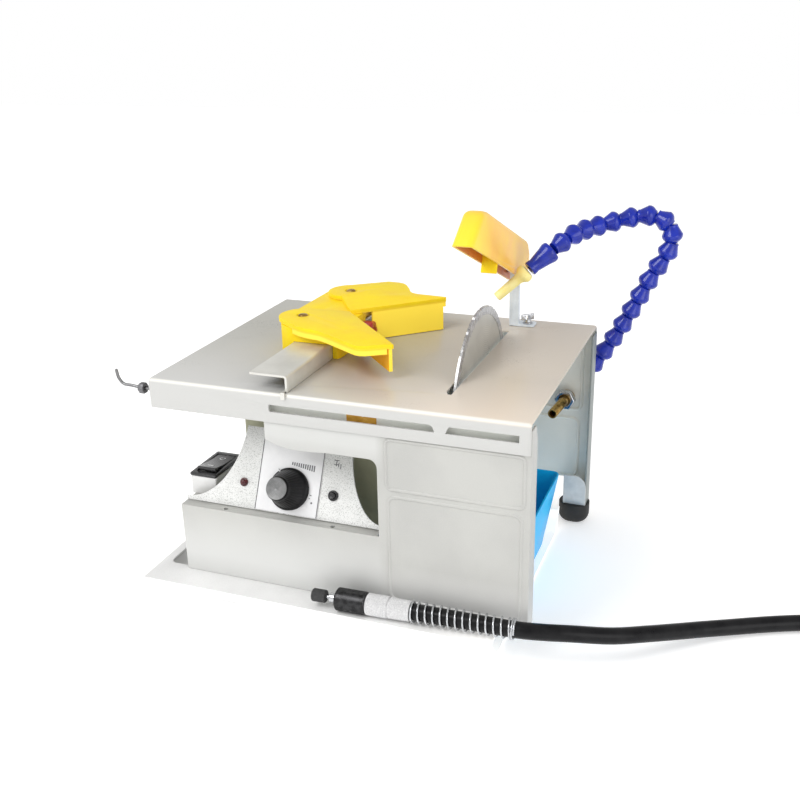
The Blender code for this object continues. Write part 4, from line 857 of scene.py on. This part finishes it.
def make_rear_panel():
    left, right, face, flange_y = BODY_LEFT, HALF_WIDTH, BACK_Y - SHEET, BACK_Y - RETURN_FLANGE
    outline = [(left, LEG_FOOT_Z), (left + LEG_WIDTH, LEG_FOOT_Z),
               *arc((left + LEG_WIDTH + 5, REAR_SHEET_Z - 5), 5, 180, 90, 6),
               *arc((right - LEG_WIDTH - 5, REAR_SHEET_Z - 5), 5, 90, 0, 6),
               (right - LEG_WIDTH, LEG_FOOT_Z), (right, LEG_FOOT_Z), (right, PANEL_TOP), (left, PANEL_TOP)]
    joins = [block((x, flange_y, LEG_FOOT_Z), (x + SHEET, BACK_Y - SHEET / 2, PANEL_TOP))
             for x in (left, right - SHEET)]
    cuts = [rod(FITTING + Vector((0, -9, 0)), FITTING + Vector((0, 9, 0)), 5.3)]
    make("rear_sheet", sheet_xz(outline, face, BACK_Y), "rear_paint", "rear_panel",
         joins=joins, cuts=cuts, edge=0.3, steps=3)
    beads = merged(ridge(-125, 150.5, 110, 187, face, -2, 7, 4), ridge(-125, 149, 40, 104.5, face, -2, 9, 4))
    make("rear_beads", beads, "rear_paint", smooth=60)
    outline = [(138.2, 13), (160, 13), *arc((149, 37), (11, 13), 0, 90, 12), (138.2, 50)]
    make("leg_toe", sheet_xz(outline, flange_y - 1.6, flange_y - 0.2), "toe_grey", edge=0.6, steps=3,
         smooth=50)


def make_boot(name, cad, leg_x, side):
    """A rubber boot with an L-shaped pocket for the leg; side is +1 for the right leg."""
    flange_x = leg_x[1] if side > 0 else leg_x[0]
    low_x = leg_x[0] - 2.5
    shape = block((low_x, BACK_Y - 24, 0), (low_x + 29, BACK_Y + 3, 20), 12.5, 12, upright)
    soften(shape, 9, 10, lambda e: all(v.co.z < 0.01 for v in e.verts))
    near = flange_x - SHEET - GAP if side > 0 else flange_x - GAP
    far = flange_x + GAP if side > 0 else flange_x + SHEET + GAP
    back, front = BACK_Y + GAP, BACK_Y - RETURN_FLANGE - GAP
    sheet_y = BACK_Y - SHEET - GAP
    if side > 0:
        pocket = [(near, front), (far, front), (far, back), (leg_x[0] - GAP, back)]
        pocket += [(leg_x[0] - GAP, sheet_y), (near, sheet_y)]
    else:
        pocket = [(near, front), (far, front), (far, sheet_y), (leg_x[1] + GAP, sheet_y)]
        pocket += [(leg_x[1] + GAP, back), (near, back)]
    make(name, shape, "black_rubber", cad, cuts=[prism(pocket, LEG_FOOT_Z - GAP, 25)],
         edge=0.5, steps=3)


def make_boots():
    make_boot("boot_right", "rear_foot_right", (HALF_WIDTH - LEG_WIDTH, HALF_WIDTH), 1)
    make_boot("boot_left", "rear_foot_left", (BODY_LEFT, BODY_LEFT + LEG_WIDTH), -1)


# ---- controls ----


def on_slope(x, v=CONTROL_ROW, out=0):
    return SLOPE @ Matrix.Translation((x, v, out))


def make_control_panel():
    left, right, rise = -141, 38, 72
    outline = [(left, 0), (right, 0)]
    outline += arc((right, rise + 3), (35, rise), 270, 185, 28)
    outline += arc((left, rise + 3), (48, rise), 355, 270, 28)
    cuts = []
    for x, radius in ((KNOB_X, 4.5), (LAMP_X, 2.9), (BUTTON_X, 3.1)):
        cuts.append(turned(((0, -5), (radius, -5), (radius, 5), (0, 5)), on_slope(x), 40))
    make("control_sheet", prism(outline, -SHEET, 0, SLOPE), "panel_silver", "control_panel",
         cuts=cuts, edge=0.4, steps=3, smooth=30)


def make_label():
    low, high = LABEL_X
    top, ink = GAP + 0.6, 0.1
    plate = prism(rounded_outline(low, high, 0.8, 63, 0.6, 3), GAP, top, SLOPE)
    hole = turned(((0, -5), (5, -5), (5, 5), (0, 5)), on_slope(KNOB_X), 40)
    make("label_sheet", plate, "label_pale", "label_plate", cuts=[hole], edge=0.12)
    bars = [(low + 0.15, low + 0.9, 0.9, 62.9, top), (high - 0.9, high - 0.15, 0.9, 62.9, top)]
    for i in range(11):
        x, v = KNOB_X - 1.5 + 2 * i, CONTROL_ROW + 20 - 0.33 * i
        bars.append((x, x + 1.1, v, v + 2.4 + 0.26 * i, top))
    for x, low_v, high_v in ((-1.4, 24, 28.5), (0.6, 23.5, 27), (2.6, 22, 26)):
        bars.append((BUTTON_X + x, BUTTON_X + x + 0.7, CONTROL_ROW + low_v, CONTROL_ROW + high_v, 0.02))
    for v in (25, 28.4):
        bars.append((BUTTON_X - 3.4, BUTTON_X + 1.2, CONTROL_ROW + v, CONTROL_ROW + v + 0.6, 0.02))
    marks = []
    for low_x, high_x, low_v, high_v, face in bars:
        marks.append(block((low_x, low_v, face), (high_x, high_v, face + ink)))
        marks[-1].transform(SLOPE)
    for turn, near, far in ((98, 18.4, 20), (106, 18.4, 19.4), (-100, 18.6, 20.4), (-40, 18.6, 20)):
        marks.append(block((-0.35, near, top), (0.35, far, top + ink)))
        marks[-1].transform(on_slope(KNOB_X) @ Matrix.Rotation(radians(-turn), 4, "Z"))
    dot = ((0, top), (0.8, top), (0.8, top + ink), (0, top + ink))
    marks.append(turned(dot, on_slope(KNOB_X + 20.5, 12.5), 20))
    make("label_scale", merged(*marks), "label_ink")


def make_knob():
    def fluted(radius, height, angle):
        share = min(max((25 - height) / 3, 0), 1) * min(max((height - 5.4) / 2, 0), 1)
        return radius - 0.32 * share * (0.5 - 0.5 * cos(36 * angle))

    where = on_slope(KNOB_X)
    body = [(3.3, 1.6), (17.1, 1.6), (17.5, 2), (17.5, 4.2), (17.1, 4.9), (16.3, 5.5)]
    body += [(16 - 5.6 * i / 14, 5.8 + 17.2 * i / 14) for i in range(15)]
    body += [(10.2, 24.2), (9.9, 25.4), (9.5, 26), (3.3, 26)]
    make("knob_grip", turned(body, where, 144, fluted), "knob_black", "speed_knob", "knob", smooth=40)
    face = [(0, 26.3), (8.9, 26.3), (9.1, 26.5), (9.1, 27), (8.8, 27.4)]
    for i in range(7):
        face += [(8.2 - 1.13 * i, 27.4), (7.8 - 1.13 * i, 27.2)]
    make("knob_face", turned(face + [(0, 27.25)], where, 72), "cap_grey", "knob_cap", "knob", smooth=50)
    pointer = block((-0.45, 14.2, 4.6), (0.45, 17.1, 5.7), 0.15, 2)
    pointer.transform(where @ Matrix.Rotation(radians(35), 4, "Z"))
    make("knob_pointer", pointer, "label_pale", body="knob")
    rotor = ((0, -12), (9, -12), (9, -4), (3, -3), (3, 24), (0, 24))
    lathe("knob", where, ("knob_spindle", "knob_shaft", "bright_steel", 40, rotor))
    case = ((3.6, -1.8), (12, -1.8), (12, -15), (9.3, -15), (9.3, -3.4), (3.6, -2.4))
    lathe("body", where, ("potentiometer_case", "potentiometer", "dark_steel", 48, case))


def make_lamp_and_button():
    lamp = [(0, -9), (2.5, -9), (2.5, GAP), (3.6, GAP), (3.6, 0.8), (3.3, 1.1), (2.7, 1.2), (2.65, 1.6)]
    lamp += [(2.6 * cos(radians(a)), 1.6 + 2 * sin(radians(a))) for a in (15, 30, 45, 60, 75)] + [(0, 3.6)]
    lathe("body", on_slope(LAMP_X), ("lamp_lens", "power_lamp", "lamp_red", 40, lamp))
    ring = ((2.8, -7), (2.8, 1.4), (3, 1.7), (4, 1.6), (4.4, 1.1), (4.4, GAP), (3.05, GAP), (3.05, -7))
    lathe("body", on_slope(BUTTON_X), ("button_ring", "button_collar", "switch_black", 40, ring))
    button = ((0, -9), (2.4, -9), (2.4, 4), (2.2, 4.45), (1.7, 4.7), (0.9, 4.55), (0, 4.5))
    lathe("button", on_slope(BUTTON_X), ("button_cap", "reset_button", "switch_black", 40, button))


def make_switch():
    x, y, z = (-144, -119), (-101, -54), (84.3, 100.5)
    room = block((x[0] + 3, y[0] + 3, z[0] + 2), (x[1] - 3, y[1] - 3, z[1] + 5))
    make("switch_case", block((x[0], y[0], z[0]), (x[1], y[1], z[1]), 1.6, 4, upright), "box_grey",
         "switch_box", cuts=[room], edge=0.4, steps=3)
    low = z[1] + GAP
    hole = block((x[0] + 3, y[0] + 5, low - 2), (x[1] - 3.5, y[1] - 5, low + 5))
    bezel = block((x[0] - 0.5, y[0] - 0.5, low), (x[1], y[1], low + 2.4), 1.6, 4, upright)
    make("switch_frame", bezel, "switch_black", "switch_bezel", cuts=[hole], edge=0.7, steps=3)
    half, reach = 8.7, 17.5
    side = [(-reach, 0.5), *((reach * i / 12, 2.6 + (i / 12) ** 2) for i in range(-12, 13)),
            (reach, 0.5), (5, -4.5), (-5, -4.5)]
    tilt = Matrix.Translation((-131.75, -77.5, low + 0.5)) @ Matrix.Rotation(radians(-7), 4, "X")
    rocker = sheet_yz(side, -half, half)
    rocker.transform(tilt)
    make("rocker_cap", rocker, "switch_black", "switch_rocker", "rocker", edge=0.5, steps=3, smooth=30)
    bar = block((-2.6, -10.8, 2.6), (2.6, -9.6, 3.12), 0.1, 2)
    ring = turned(((1.9, 2.6), (2.7, 2.6), (2.7, 3.12), (1.9, 3.12)), Matrix.Translation((0, 10.2, 0)), 32)
    marks = merged(bar, ring)
    marks.transform(tilt)
    make("rocker_marks", marks, "label_pale", body="rocker")


# ---- drive ----


def on_spindle(x=0, y=0, z=SPINDLE_Z):
    return aim((x, y, z), (1, 0, 0))


def make_motor():
    left, right, radius = -50, 36, 25
    shell = ((radius - 2, left + 4), (radius, left + 4), (radius, right - 4), (radius - 2, right - 4))
    lathe("body", on_spindle(), ("motor_shell", "motor_housing", "motor_dark", 72, shell))
    for side, inner, outer, sign in (("right", right - 4, right, 1), ("left", left + 4, left, -1)):
        near, hub = inner + sign * GAP, outer + sign * 4
        cap = ((4.5, near), (radius, near), (radius - 1.5, outer), (10, outer), (9, hub), (4.5, hub))
        lathe("body", on_spindle(), ("cap_" + side, "motor_cap_" + side, "aluminium", 64, cap))
    top = TABLE_TOP - SHEET - GAP
    well = turned(((0, left), (radius + GAP, left), (radius + GAP, right), (0, right)), on_spindle(), 72)
    opening = block((left, -radius - GAP, SPINDLE_Z - 60), (right, radius + GAP, SPINDLE_Z))
    make("motor_cradle", block((left + 18, -30, top - 44), (right - 18, 30, top)), "dark_steel",
         "motor_bracket", cuts=[well, opening], edge=0.6)
    make("bearing_house", block((52, -17, SPINDLE_Z - 15), (64, 17, top)), "aluminium",
         "bearing_block", cuts=[rod((47, 0, SPINDLE_Z), (69, 0, SPINDLE_Z), 4.5)], edge=1, steps=3)


def make_drive():
    hub, far = BLADE_X - 0.9, BLADE_X + 0.9
    shaft = ((0, -66), (3.6, -66), (4, -65.6), (4, hub - 9.3), (8, hub - 8), (8, hub - 4), (4, hub - 4),
             (4, 100.8), (3.4, 101.5), (0, 101.5))
    core = ((4.3, -36), (4.3, 22), (20, 22), (20, -36))
    inner = ((4.3, hub - 3.7), (14, hub - 3.4), (19, hub - 2.5), (19, hub - GAP), (4.3, hub - GAP))
    outer = ((4.3, far + GAP), (19, far + GAP), (19, far + 2.2), (18.4, far + 2.7), (14, far + 4),
             (4.3, far + 4))
    chuck = ((4.3, -62), (9, -62), (11.2, -64.6), (11.5, -65.2), (11.5, -84), (9, -88), (5, -97), (1.6, -97),
             (1.6, -70), (4.3, -70))
    rim_from = BLADE_RADIUS - 7
    disc = ((4.3, hub), (rim_from, hub), (rim_from, far), (4.3, far))
    lathe("drive", on_spindle(),
          ("spindle_rod", "spindle", "bright_steel", 48, shaft),
          ("rotor_core", "rotor", "dark_steel", 48, core),
          ("flange_inner", "inner_flange", "bright_steel", 64, inner),
          ("flange_outer", "outer_flange", "bright_steel", 64, outer))
    make("spindle_nut", prism(hexagon(14), far + 4.3, far + 11, on_spindle()), "bright_steel",
         "arbor_nut", "drive", cuts=[rod((far, 0, SPINDLE_Z), (far + 20, 0, SPINDLE_Z), 4.3)], edge=0.5)
    lathe("drive", on_spindle(),
          ("chuck_key_type", "tool_chuck", "dark_steel", 64, chuck),
          ("blade_disc", "saw_blade", "blade_steel", 180, disc))

    def notched(radius, height, angle):
        """The diamond-coated rim has shallow radial notches."""
        share = (angle * 24 / (2 * pi)) % 1
        return radius - (1.1 if radius > rim_from + 3 and share < 0.08 else 0)

    rim = ((rim_from, hub - 0.3), (BLADE_RADIUS - 0.4, hub - 0.3), (BLADE_RADIUS, hub), (BLADE_RADIUS, far),
           (BLADE_RADIUS - 0.4, far + 0.3), (rim_from, far + 0.3))
    make("blade_band", turned(rim, on_spindle(), 300, notched), "blade_rim", body="drive")


def make_tray():
    wall, low, high = 2, 2, 73
    top_x, foot_x, top_y, foot_y = (42, 143.5), (50, 131.5), (-62, 62), (-54, 54)
    shape = soften(frustum(low, foot_x, foot_y, high, top_x, top_y), 7, 8, upright)
    room = frustum(low + wall, (foot_x[0] + wall, foot_x[1] - wall), (foot_y[0] + wall, foot_y[1] - wall),
                   high + 0.01, (top_x[0] + wall, top_x[1] - wall), (top_y[0] + wall, top_y[1] - wall))
    soften(room, 5, 8, upright)
    make("tray_shell", shape, "tray_blue", "water_tray", "tray", cuts=[room], edge=0.8, steps=3, smooth=30)


# ---- fence and guide ----


def make_fence():
    left, right = FENCE_X
    foot, top = TABLE_TOP + GAP, FENCE_TOP
    outline = [(left, top - 2), *arc((right - 3, top - 3), 1, 90, 0, 5), (right - 2, foot), (right, foot)]
    outline += [*arc((right - 2.4, top - 2.4), 2.4, 0, 90, 8), (left, top)]
    clip = block((right - 3.5, -HALF_DEPTH - 1.8, TABLE_TOP - 4), (right, -HALF_DEPTH - GAP, TABLE_TOP + 2))
    tie = block((right - 3.5, -HALF_DEPTH - 1.8, foot), (right - 1, -118, TABLE_TOP + 2))
    rail = make("fence_rail", sheet_xz(outline, -121, 121), "fence_metal", "fence", "fence_rail",
                joins=[clip, tie], edge=0.25, steps=2, smooth=30)

    # The rail's inner faces under its top flange get painted shade.
    def painted_shade_faces(centre, normal):
        return abs(centre.y) < 119.5 and centre.x < right - 1.6 and centre.z < top - 1.6

    repaint(rail, "fence_painted_shade", painted_shade_faces)


def make_slider():
    """The saddle over the fence, with its roof, walls and the boss that carries the clamp."""
    low_z, high_z = TABLE_TOP + GAP, GUIDE_TOP
    left = FENCE_X[0] - GAP
    outline = [(left - 22, -12), (left - 16, -34), (left - 4, -42), (-36, -42), (-28, -34)]
    outline += [(-28, 84), (-36, 92), (left - 8, 92), (left - 20, 82)]
    shape = soften(prism(outline, low_z, high_z), 4, 5, upright)
    wall = FENCE_X[1] + GAP
    cuts = [block((left, -60, low_z - 5), (wall, 110, FENCE_TOP + GAP))]
    cuts.append(block((wall - 1, -60, low_z - 5), (0, -36, high_z - 5)))
    cuts.append(block((wall - 1, CLAMP.y + 12, low_z - 5), (0, 110, high_z - 5)))
    cuts.append(rod((-50, CLAMP.y, CLAMP.z), (0, CLAMP.y, CLAMP.z), 2.8))
    for pin in (PIN_FRONT, PIN_REAR):
        cuts.append(rod(pin + Vector((0, 0, 205)), pin + Vector((0, 0, 230)), 2.4))
    make("guide_saddle", shape, "guide_yellow", "guide_slider", "slider", cuts=cuts, edge=0.8, steps=3)


def inset_line(points, depth):
    """The same open line, moved sideways to its left by depth."""
    moved = []
    for i, spot in enumerate(points):
        ahead = (Vector(points[min(i + 1, len(points) - 1)]) - Vector(points[max(i - 1, 0)])).normalized()
        moved.append((spot[0] - ahead.y * depth, spot[1] + ahead.x * depth))
    return moved


def make_arm(name, cad, body, pin, outline, straight, rim, gap):
    """A wing: a flat plate, a tall wall under its straight edge and a shallow rim under its free edge.

    The wall ends gap above the table.
    """
    low, high = TABLE_TOP + gap, ARM_TOP - 1
    start, end, inward = (Vector((*v, 0)) for v in straight)
    inward.normalize()
    corners = [start + inward * GAP, end + inward * GAP, end + inward * 3.3, start + inward * 3.3]
    wall = prism([(c.x, c.y) for c in corners], low, high)
    strip = prism(rim + inset_line(rim, 2.4)[::-1], ARM_TOP - 8.5, ARM_TOP - 1)
    bore = rod(pin + Vector((0, 0, 215)), pin + Vector((0, 0, 235)), 2.4)
    cone = ((0, ARM_TOP - 1.2), (5.4, ARM_TOP - 1.2), (6, ARM_TOP + 1), (0, ARM_TOP + 1))
    sink = turned(cone, Matrix.Translation(pin))
    wing = make(name, prism(outline, GUIDE_TOP + GAP, ARM_TOP), "wing_yellow", cad, body,
                joins=[wall, strip], cuts=[bore, sink], edge=0.9, steps=3)

    # The wing's undersides and the inner face of its wall get painted shade.
    def painted_shade_faces(centre, normal):
        inner = normal.dot(inward) > 0.7 and centre.z < ARM_TOP - 4.2
        return normal.z < -0.7 or (inner and (centre - start).dot(inward) < 4.5)

    repaint(wing, "guide_painted_shade", painted_shade_faces)


def make_arms():
    lobe = arc((PIN_FRONT.x, PIN_FRONT.y), 21, 75, 235, 32)
    curve = [(-68, -43.5), (-60, -48.5), (-52, -51.8), (-45, -53.3), (-38, -55), (-30, -59)]
    curve += [(-15, -68.4), (0, -77.8), (5, -80.6), (9.5, -81.6), (14, -80.6), (20, -77), (29, -71.5)]
    outline = [*lobe, *curve, (33.5, -71), (34.5, -69.6), (-36, 6)]
    line = ((33, -68.3), (-12, -19.8), (-1, -0.93))
    rim = [(x + 0.35, y + 0.6) for x, y in curve]
    make_arm("wing_front", "guide_arm_front", "arm_front", PIN_FRONT, outline, line, rim, 7)
    lobe = arc((PIN_REAR.x, PIN_REAR.y), 21, 110, 270, 32)
    back = [(30.4, 73.9), (14, 75.4), (2, 76.4), (-3.6, 78.4), (-7.6, 83), (-12, 92), (-19, 103.6)]
    back += [(-23.6, 108.2), (-29, 110.4), (-40, 111)]
    outline = [*lobe, (-36, 8.5), (29.8, 69.9), (31, 71.6), *back]
    line = ((29.2, 69.3), (-21, 22.5), (-0.93, 1))
    rim = [(x - 0.2, y - 0.5) for x, y in back]
    make_arm("wing_rear", "guide_arm_rear", "arm_rear", PIN_REAR, outline, line, rim, 0.5)


def make_guide_hardware():
    for end, pin in (("front", PIN_FRONT), ("rear", PIN_REAR)):
        profile = [(0, 213), (2, 213), (2, ARM_TOP - 1), (4.3, ARM_TOP - 1), (4.3, ARM_TOP - 0.2)]
        profile += [(4.3 * cos(radians(a)), ARM_TOP - 0.2 + 1.5 * sin(radians(a))) for a in (20, 40, 60, 80)]
        lathe("slider", Matrix.Translation(pin),
              ("rivet_" + end, "guide_pin_" + end, "brass", 40, profile + [(0, ARM_TOP + 1.3)]))

    def lobed(radius, height, angle):
        return radius - (1.1 * (0.5 - 0.5 * cos(7 * angle)) if radius > 7.9 else 0)

    start = FENCE_X[1] + GAP
    profile = ((0, start), (2.5, start), (2.5, -26), (8, -26), (9.2, -25.4), (10, -24.2), (10, -17.2),
               (9.4, -16), (8.4, -15.4), (4.6, -15.2), (4.2, -15.9), (0, -15.9))
    make("clamp_grip", turned(profile, on_spindle(0, CLAMP.y, CLAMP.z), 84, lobed), "clamp_red",
         "clamp_knob", "clamp", smooth=50)


# ---- guard ----


def make_post():
    low = TABLE_TOP + GAP
    foot = block((83, 98.5, low), (106, 111.5, low + 2), 2, 4, upright)
    holes = [rod((78, PIVOT.y, PIVOT.z), (97, PIVOT.y, PIVOT.z), 1.5),
             rod((99, 104.5, 190), (99, 104.5, 203), 2.4)]
    make("post_strap", block((83, 98.5, low), (92, 102.5, PIVOT.z + 6)), "post_steel", "guard_post",
         joins=[foot], cuts=holes, edge=0.4, steps=3)
    top = low + 2
    profile = [(0, low), (2, low), (2, top + GAP), (4.5, top + GAP), (4.5, top + 1.4), (3.2, top + 1.8)]
    profile += [(3.2, top + 4.6), (2.6, top + 5.4), (1.6, top + 7.6), (0, top + 8)]
    where = Matrix.Translation((99, 104.5, 0)) @ Matrix.Rotation(radians(40), 4, "Z")
    wings = block((-6.4, -0.8, top + 2.2), (6.4, 0.8, top + 7.8), 0.7, 3)
    for spot in wings.verts:
        spot.co.z += 0.25 * max(abs(spot.co.x) - 2, 0)
    wings.transform(where)
    make("wing_screw", turned(profile, where, 40), "bright_steel", "post_screw", "foot_screw", joins=[wings],
         edge=0.15)


def guard_matrix():
    """Local x across, y forward along the hood and z up out of it, at the tilted rest."""
    rise, level = sin(GUARD_TILT), cos(GUARD_TILT)
    return frame_of(Vector((-1, 0, 0)), Vector((0, -level, rise)), Vector((0, rise, level)), PIVOT)


def make_guard():
    left, right, wall = 7, 10.5, 2
    where = guard_matrix() @ SIDEWAYS
    side = [(-20, 0), (-14, -6), (169, -6), (147, 25), (134, 28), (-8, 30), (-20, 20)]
    outer = prism(side, -right, left)

    def crown(edge):
        high = all(v.co.y > -5.5 for v in edge.verts)
        return high or abs(edge.verts[0].co.y - edge.verts[1].co.y) > 20

    soften(outer, 5.2, 8, crown)
    outer.transform(where)
    inside = [(-25, -8), (165.5, -8), (145.5, 22), (133, 25.4), (-8, 27.6), (-25, 27.6)]
    cavity = prism(inside, -right + wall, left - wall)
    soften(cavity, 3, 4, lambda e: all(v.co.y > 20 for v in e.verts))
    cavity.transform(where)
    bore = rod(PIVOT - Vector((16, 0, 0)), PIVOT + Vector((16, 0, 0)), 1.5)
    hood = make("hood_shell", outer, "guard_orange", "guard_hood", "guard", cuts=[cavity, bore], edge=0.35)
    to_local = where.inverted()
    core = Vector((70, 8, (left - right) / 2))

    # The hood's inner faces get painted shade.
    def painted_shade_faces(centre, normal):
        spot = to_local @ centre
        towards = to_local.to_3x3() @ normal
        return towards.dot(spot - core) < 0 and spot.y > -5

    repaint(hood, "guard_painted_shade", painted_shade_faces)
    flap = prism([(83.5, 12), (83.5, -14), (85.5, -14), (85.5, 12)], -right + wall, left - wall, where)
    make("hood_flap", flap, "guide_yellow", body="guard", edge=0.4)
    pin = ((0, -9.2), (2.6, -9.2), (3.2, -8.7), (3.2, -7.3), (1.2, -7.3), (1.2, 10.1), (0, 10.1))
    make("hood_pin", turned(pin, aim(PIVOT, (1, 0, 0)), 32), "bright_steel", "guard_pin")


def make_nozzle():
    down, back = NOZZLE_TIP - NOZZLE_MID, NOZZLE_TOP - NOZZLE_MID
    length, reach = down.length, back.length - 2.4
    tube = ((2.6, 0), (6, 0), (6.8, 0.7), (7.6, 2), (7.9, 3.8), (7.6, 5.6), (6.7, 7.2), (5.6, 8.4),
            (4.9, 9.8), (4.5, 12), (4.1, length - 0.6), (3.6, length), (2.6, length))
    lathe("guard", aim(NOZZLE_MID, down), ("nozzle_tube", "water_nozzle", "nozzle_pale", 48, tube))
    flare = ((3, 0), (6.2, 0), (6.6, 0.6), (6.5, 3), (6.1, 5), (8.2, reach - 6), (9.3, reach - 2),
             (9.6, reach - 0.6), (9.4, reach + 1.6), (8.9, reach + 2.5), (8, reach + 2.5), (6.4, reach - 3),
             (3, 4))
    where = aim(NOZZLE_MID + back.normalized() * 2.4, back.normalized())
    lathe("guard", where, ("hose_socket", "hose_connector", "hose_blue", 48, flare))


# ---- water line ----


def make_fitting():
    swing = radians(4.8)
    axis = Vector((-sin(swing), -cos(swing), 0))
    start = Vector((FITTING.x, BACK_Y - SHEET - GAP - 7.5 * sin(swing), FITTING.z))
    body = ((0, 0), (7, 0), (7.5, 0.5), (7.5, 3.5), (7, 4), (5.4, 4.4), (5.2, 5), (5.2, 8), (4.6, 8.4),
            (4.4, 8.6), (4.4, 47), (4.1, 47.5), (3.2, 47.5), (3, 47.1), (3, 12), (0, 12))
    through = rod(FITTING + Vector((0, -4, 0)), FITTING + Vector((0, 18.7, 0)), 4.8)
    elbow_axis = (Vector(HOSE_ROUTE[1]) - Vector(HOSE_ROUTE[0])).normalized()
    foot = Vector((FITTING.x, HOSE_Y, FITTING.z)) - elbow_axis * 6
    elbow = rod(foot, Vector(HOSE_ROUTE[0]) - elbow_axis * GAP, 6)
    make("tap_tube", turned(body, aim(start, axis), 56), "brass", "brass_fitting",
         joins=[through, elbow], edge=0.3)
    hexed = sheet_xz(hexagon(15, (FITTING.x, FITTING.z)), BACK_Y + GAP, BACK_Y + 6)
    make("tap_nut", hexed, "bright_steel", "fitting_nut",
         cuts=[rod(FITTING - Vector((0, 2, 0)), FITTING + Vector((0, 12, 0)), 5.2)], edge=0.6, steps=3)
    lock = prism(hexagon(17.5), 4.6, 10.6, aim(start, axis))
    make("tap_locknut", lock, "bright_steel", cuts=[rod(start, start + axis * 14, 5.4)], edge=0.7, steps=3)


def bead(mesh, start, end, mouth):
    """One hose segment: a ball that widens from the joint, a crest and a cone down to its socket's lip."""
    length = (end - start).length
    profile = ((0, mouth), (4.2, mouth), (5, 0.2), (6.6, 1.2), (7.9, 2.4), (8.8, 3.9), (9.2, 5.4),
               (9.25, 6.4), (9, 6.9), (5.9, length - 1.9), (5.75, length - 1.3), (5.75, length - 0.3),
               (5.3, length), (0, length))
    turned(profile, aim(start, end - start), 40, mesh=mesh)


def make_hose():
    route = [*HOSE_ROUTE, NOZZLE_TOP + (NOZZLE_TOP - NOZZLE_MID).normalized() * 5]
    fine = smooth_line(route, 1)
    total = len(fine) - 1
    beads = round(total / HOSE_PITCH)
    joints = []
    for i in range(beads + 1):
        spot = total * i / beads
        low = floor(spot)
        joints.append(fine[low].lerp(fine[min(low + 1, total)], spot - low))
    split = round(beads * HOSE_SPLIT)
    fixed, moving = bmesh.new(), bmesh.new()
    for i in range(beads):
        bead(fixed if i < split else moving, joints[i], joints[i + 1], -0.8 if i else 0)
    make("hose_beads", fixed, "hose_blue", "coolant_hose", smooth=50)
    rest = make("hose_beads_end", moving, "hose_blue", "hose_end", None, smooth=50)
    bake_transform(rest)


# ---- small parts and handpiece ----


def make_hook():
    outside, y, z = -HALF_WIDTH, -118, 184
    bends = ((GAP, 0), (10, 0), (20, 1), (28, 1.6), (32.5, 6.5), (34, 14))
    line = smooth_line([(outside - out, y, z + rise) for out, rise in bends], 1.2)
    radii = [1.3] * len(line)
    radii[0], radii[-1] = 0.9, 0.8
    make("hook_wire", swept(line, radii, 20), "hook_steel", "rest_hook", smooth=50)
    make("hook_locknut", prism(hexagon(8.5), -12, -7, on_spindle(outside, y, z)), "dark_steel",
         "hook_nut", cuts=[rod((outside - 14, y, z), (outside - 5, y, z), 1.5)], edge=0.5, steps=3)


def make_handpiece():
    where = aim(HAND, HAND_AXIS)
    tip = ((0, -34), (4.3, -34), (4.8, -33.7), (5.3, -33), (5.3, -23.2), (5, -22.4), (4.4, -22), (0, -22))
    nose = ((0, -21.7), (1.6, -21.7), (1.6, -19), (3.6, -18.8), (4, -18.4), (4, -13.3), (0, -13.3))
    lathe("chuck", where, ("stone_tip", "polishing_tip", "stone_black", 48, tip),
          ("nose_collet", "collet_nose", "bright_steel", 40, nose))

    def knurled(radius, height, angle):
        row, column = round((height + 11.4) / 1.15), round(angle / (2 * pi) * 64)
        return radius - (0.55 if radius > 9.2 and (row + column) % 2 else 0)

    def ribbed(radius, height, angle):
        return radius - (0.22 if radius > 7.9 and round(angle / (2 * pi) * 120) % 2 else 0)

    chuck = [(0, -13), (7.8, -13), (8.6, -12.4), (9.1, -11.9), *((9.3, -11.4 + 1.15 * i) for i in range(21)),
             (9.1, 12.2), (8.6, 13), (0, 13)]
    make("chuck_grip", turned(chuck, where, 64, knurled), "chuck_black", "handpiece_chuck", "chuck",
         smooth=20)
    sleeve = [(0, 13.3), (8.2, 13.3), (8.7, 13.8)]
    for i in range(11):
        start = 1.5 * i
        sleeve += [(8.8, 14.4 + start), (8.8, 15.3 + start), (8.55, 15.45 + start), (8.55, 15.75 + start)]
    sleeve += [(8.8, 31.2), (7.8, 31.5), (7.8, 32.4), (8.6, 32.7)]
    for i in range(11):
        taper, start = 8.5 - 0.035 * i, 1.4 * i
        sleeve += [(taper, 33.2 + start), (taper, 34 + start), (taper - 0.25, 34.15 + start),
                   (taper - 0.25, 34.45 + start)]
    sleeve += [(8, 49), (7.6, 49.6), (0, 49.6)]
    make("sleeve_grip", turned(sleeve, where, 120, ribbed), "sleeve_silver", "handpiece_sleeve",
         smooth=25)


def make_spring():
    """Open turns over the sheath, close-wound at both ends."""
    where = aim(HAND, HAND_AXIS)
    turns, steps, wire = 15.5, 28, 0.8
    start = SLEEVE_END + GAP + wire
    count = int(turns * steps)
    line = []
    for i in range(count + 1):
        turn = i / steps
        open_turns = min(max(turn - 0.5, 0), turns - 2.5)
        closed = turn - open_turns
        pitch = (SPRING_END - start - 2.5 * 2 * wire) / (turns - 2.5)
        reach = start + open_turns * pitch + closed * 2 * wire
        radius = 8.1 - 0.3 * i / count
        angle = 2 * pi * turn
        line.append(where @ Vector((radius * cos(angle), radius * sin(angle), reach)))
    make("spring_wire", swept(line, [wire] * len(line), 10), "bright_steel", "strain_spring", smooth=60)


for build in (
    make_camera, make_light, make_looks, make_floor, make_sheath, make_pan, make_table, make_front_panel,
    make_window_shade, make_side_panel, make_rear_panel, make_boots, make_control_panel, make_label, make_knob,
    make_lamp_and_button, make_switch, make_motor, make_drive, make_tray, make_fence, make_slider,
    make_arms, make_guide_hardware, make_post, make_guard, make_nozzle, make_fitting, make_hose, make_hook,
    make_handpiece, make_spring,
):
    build()
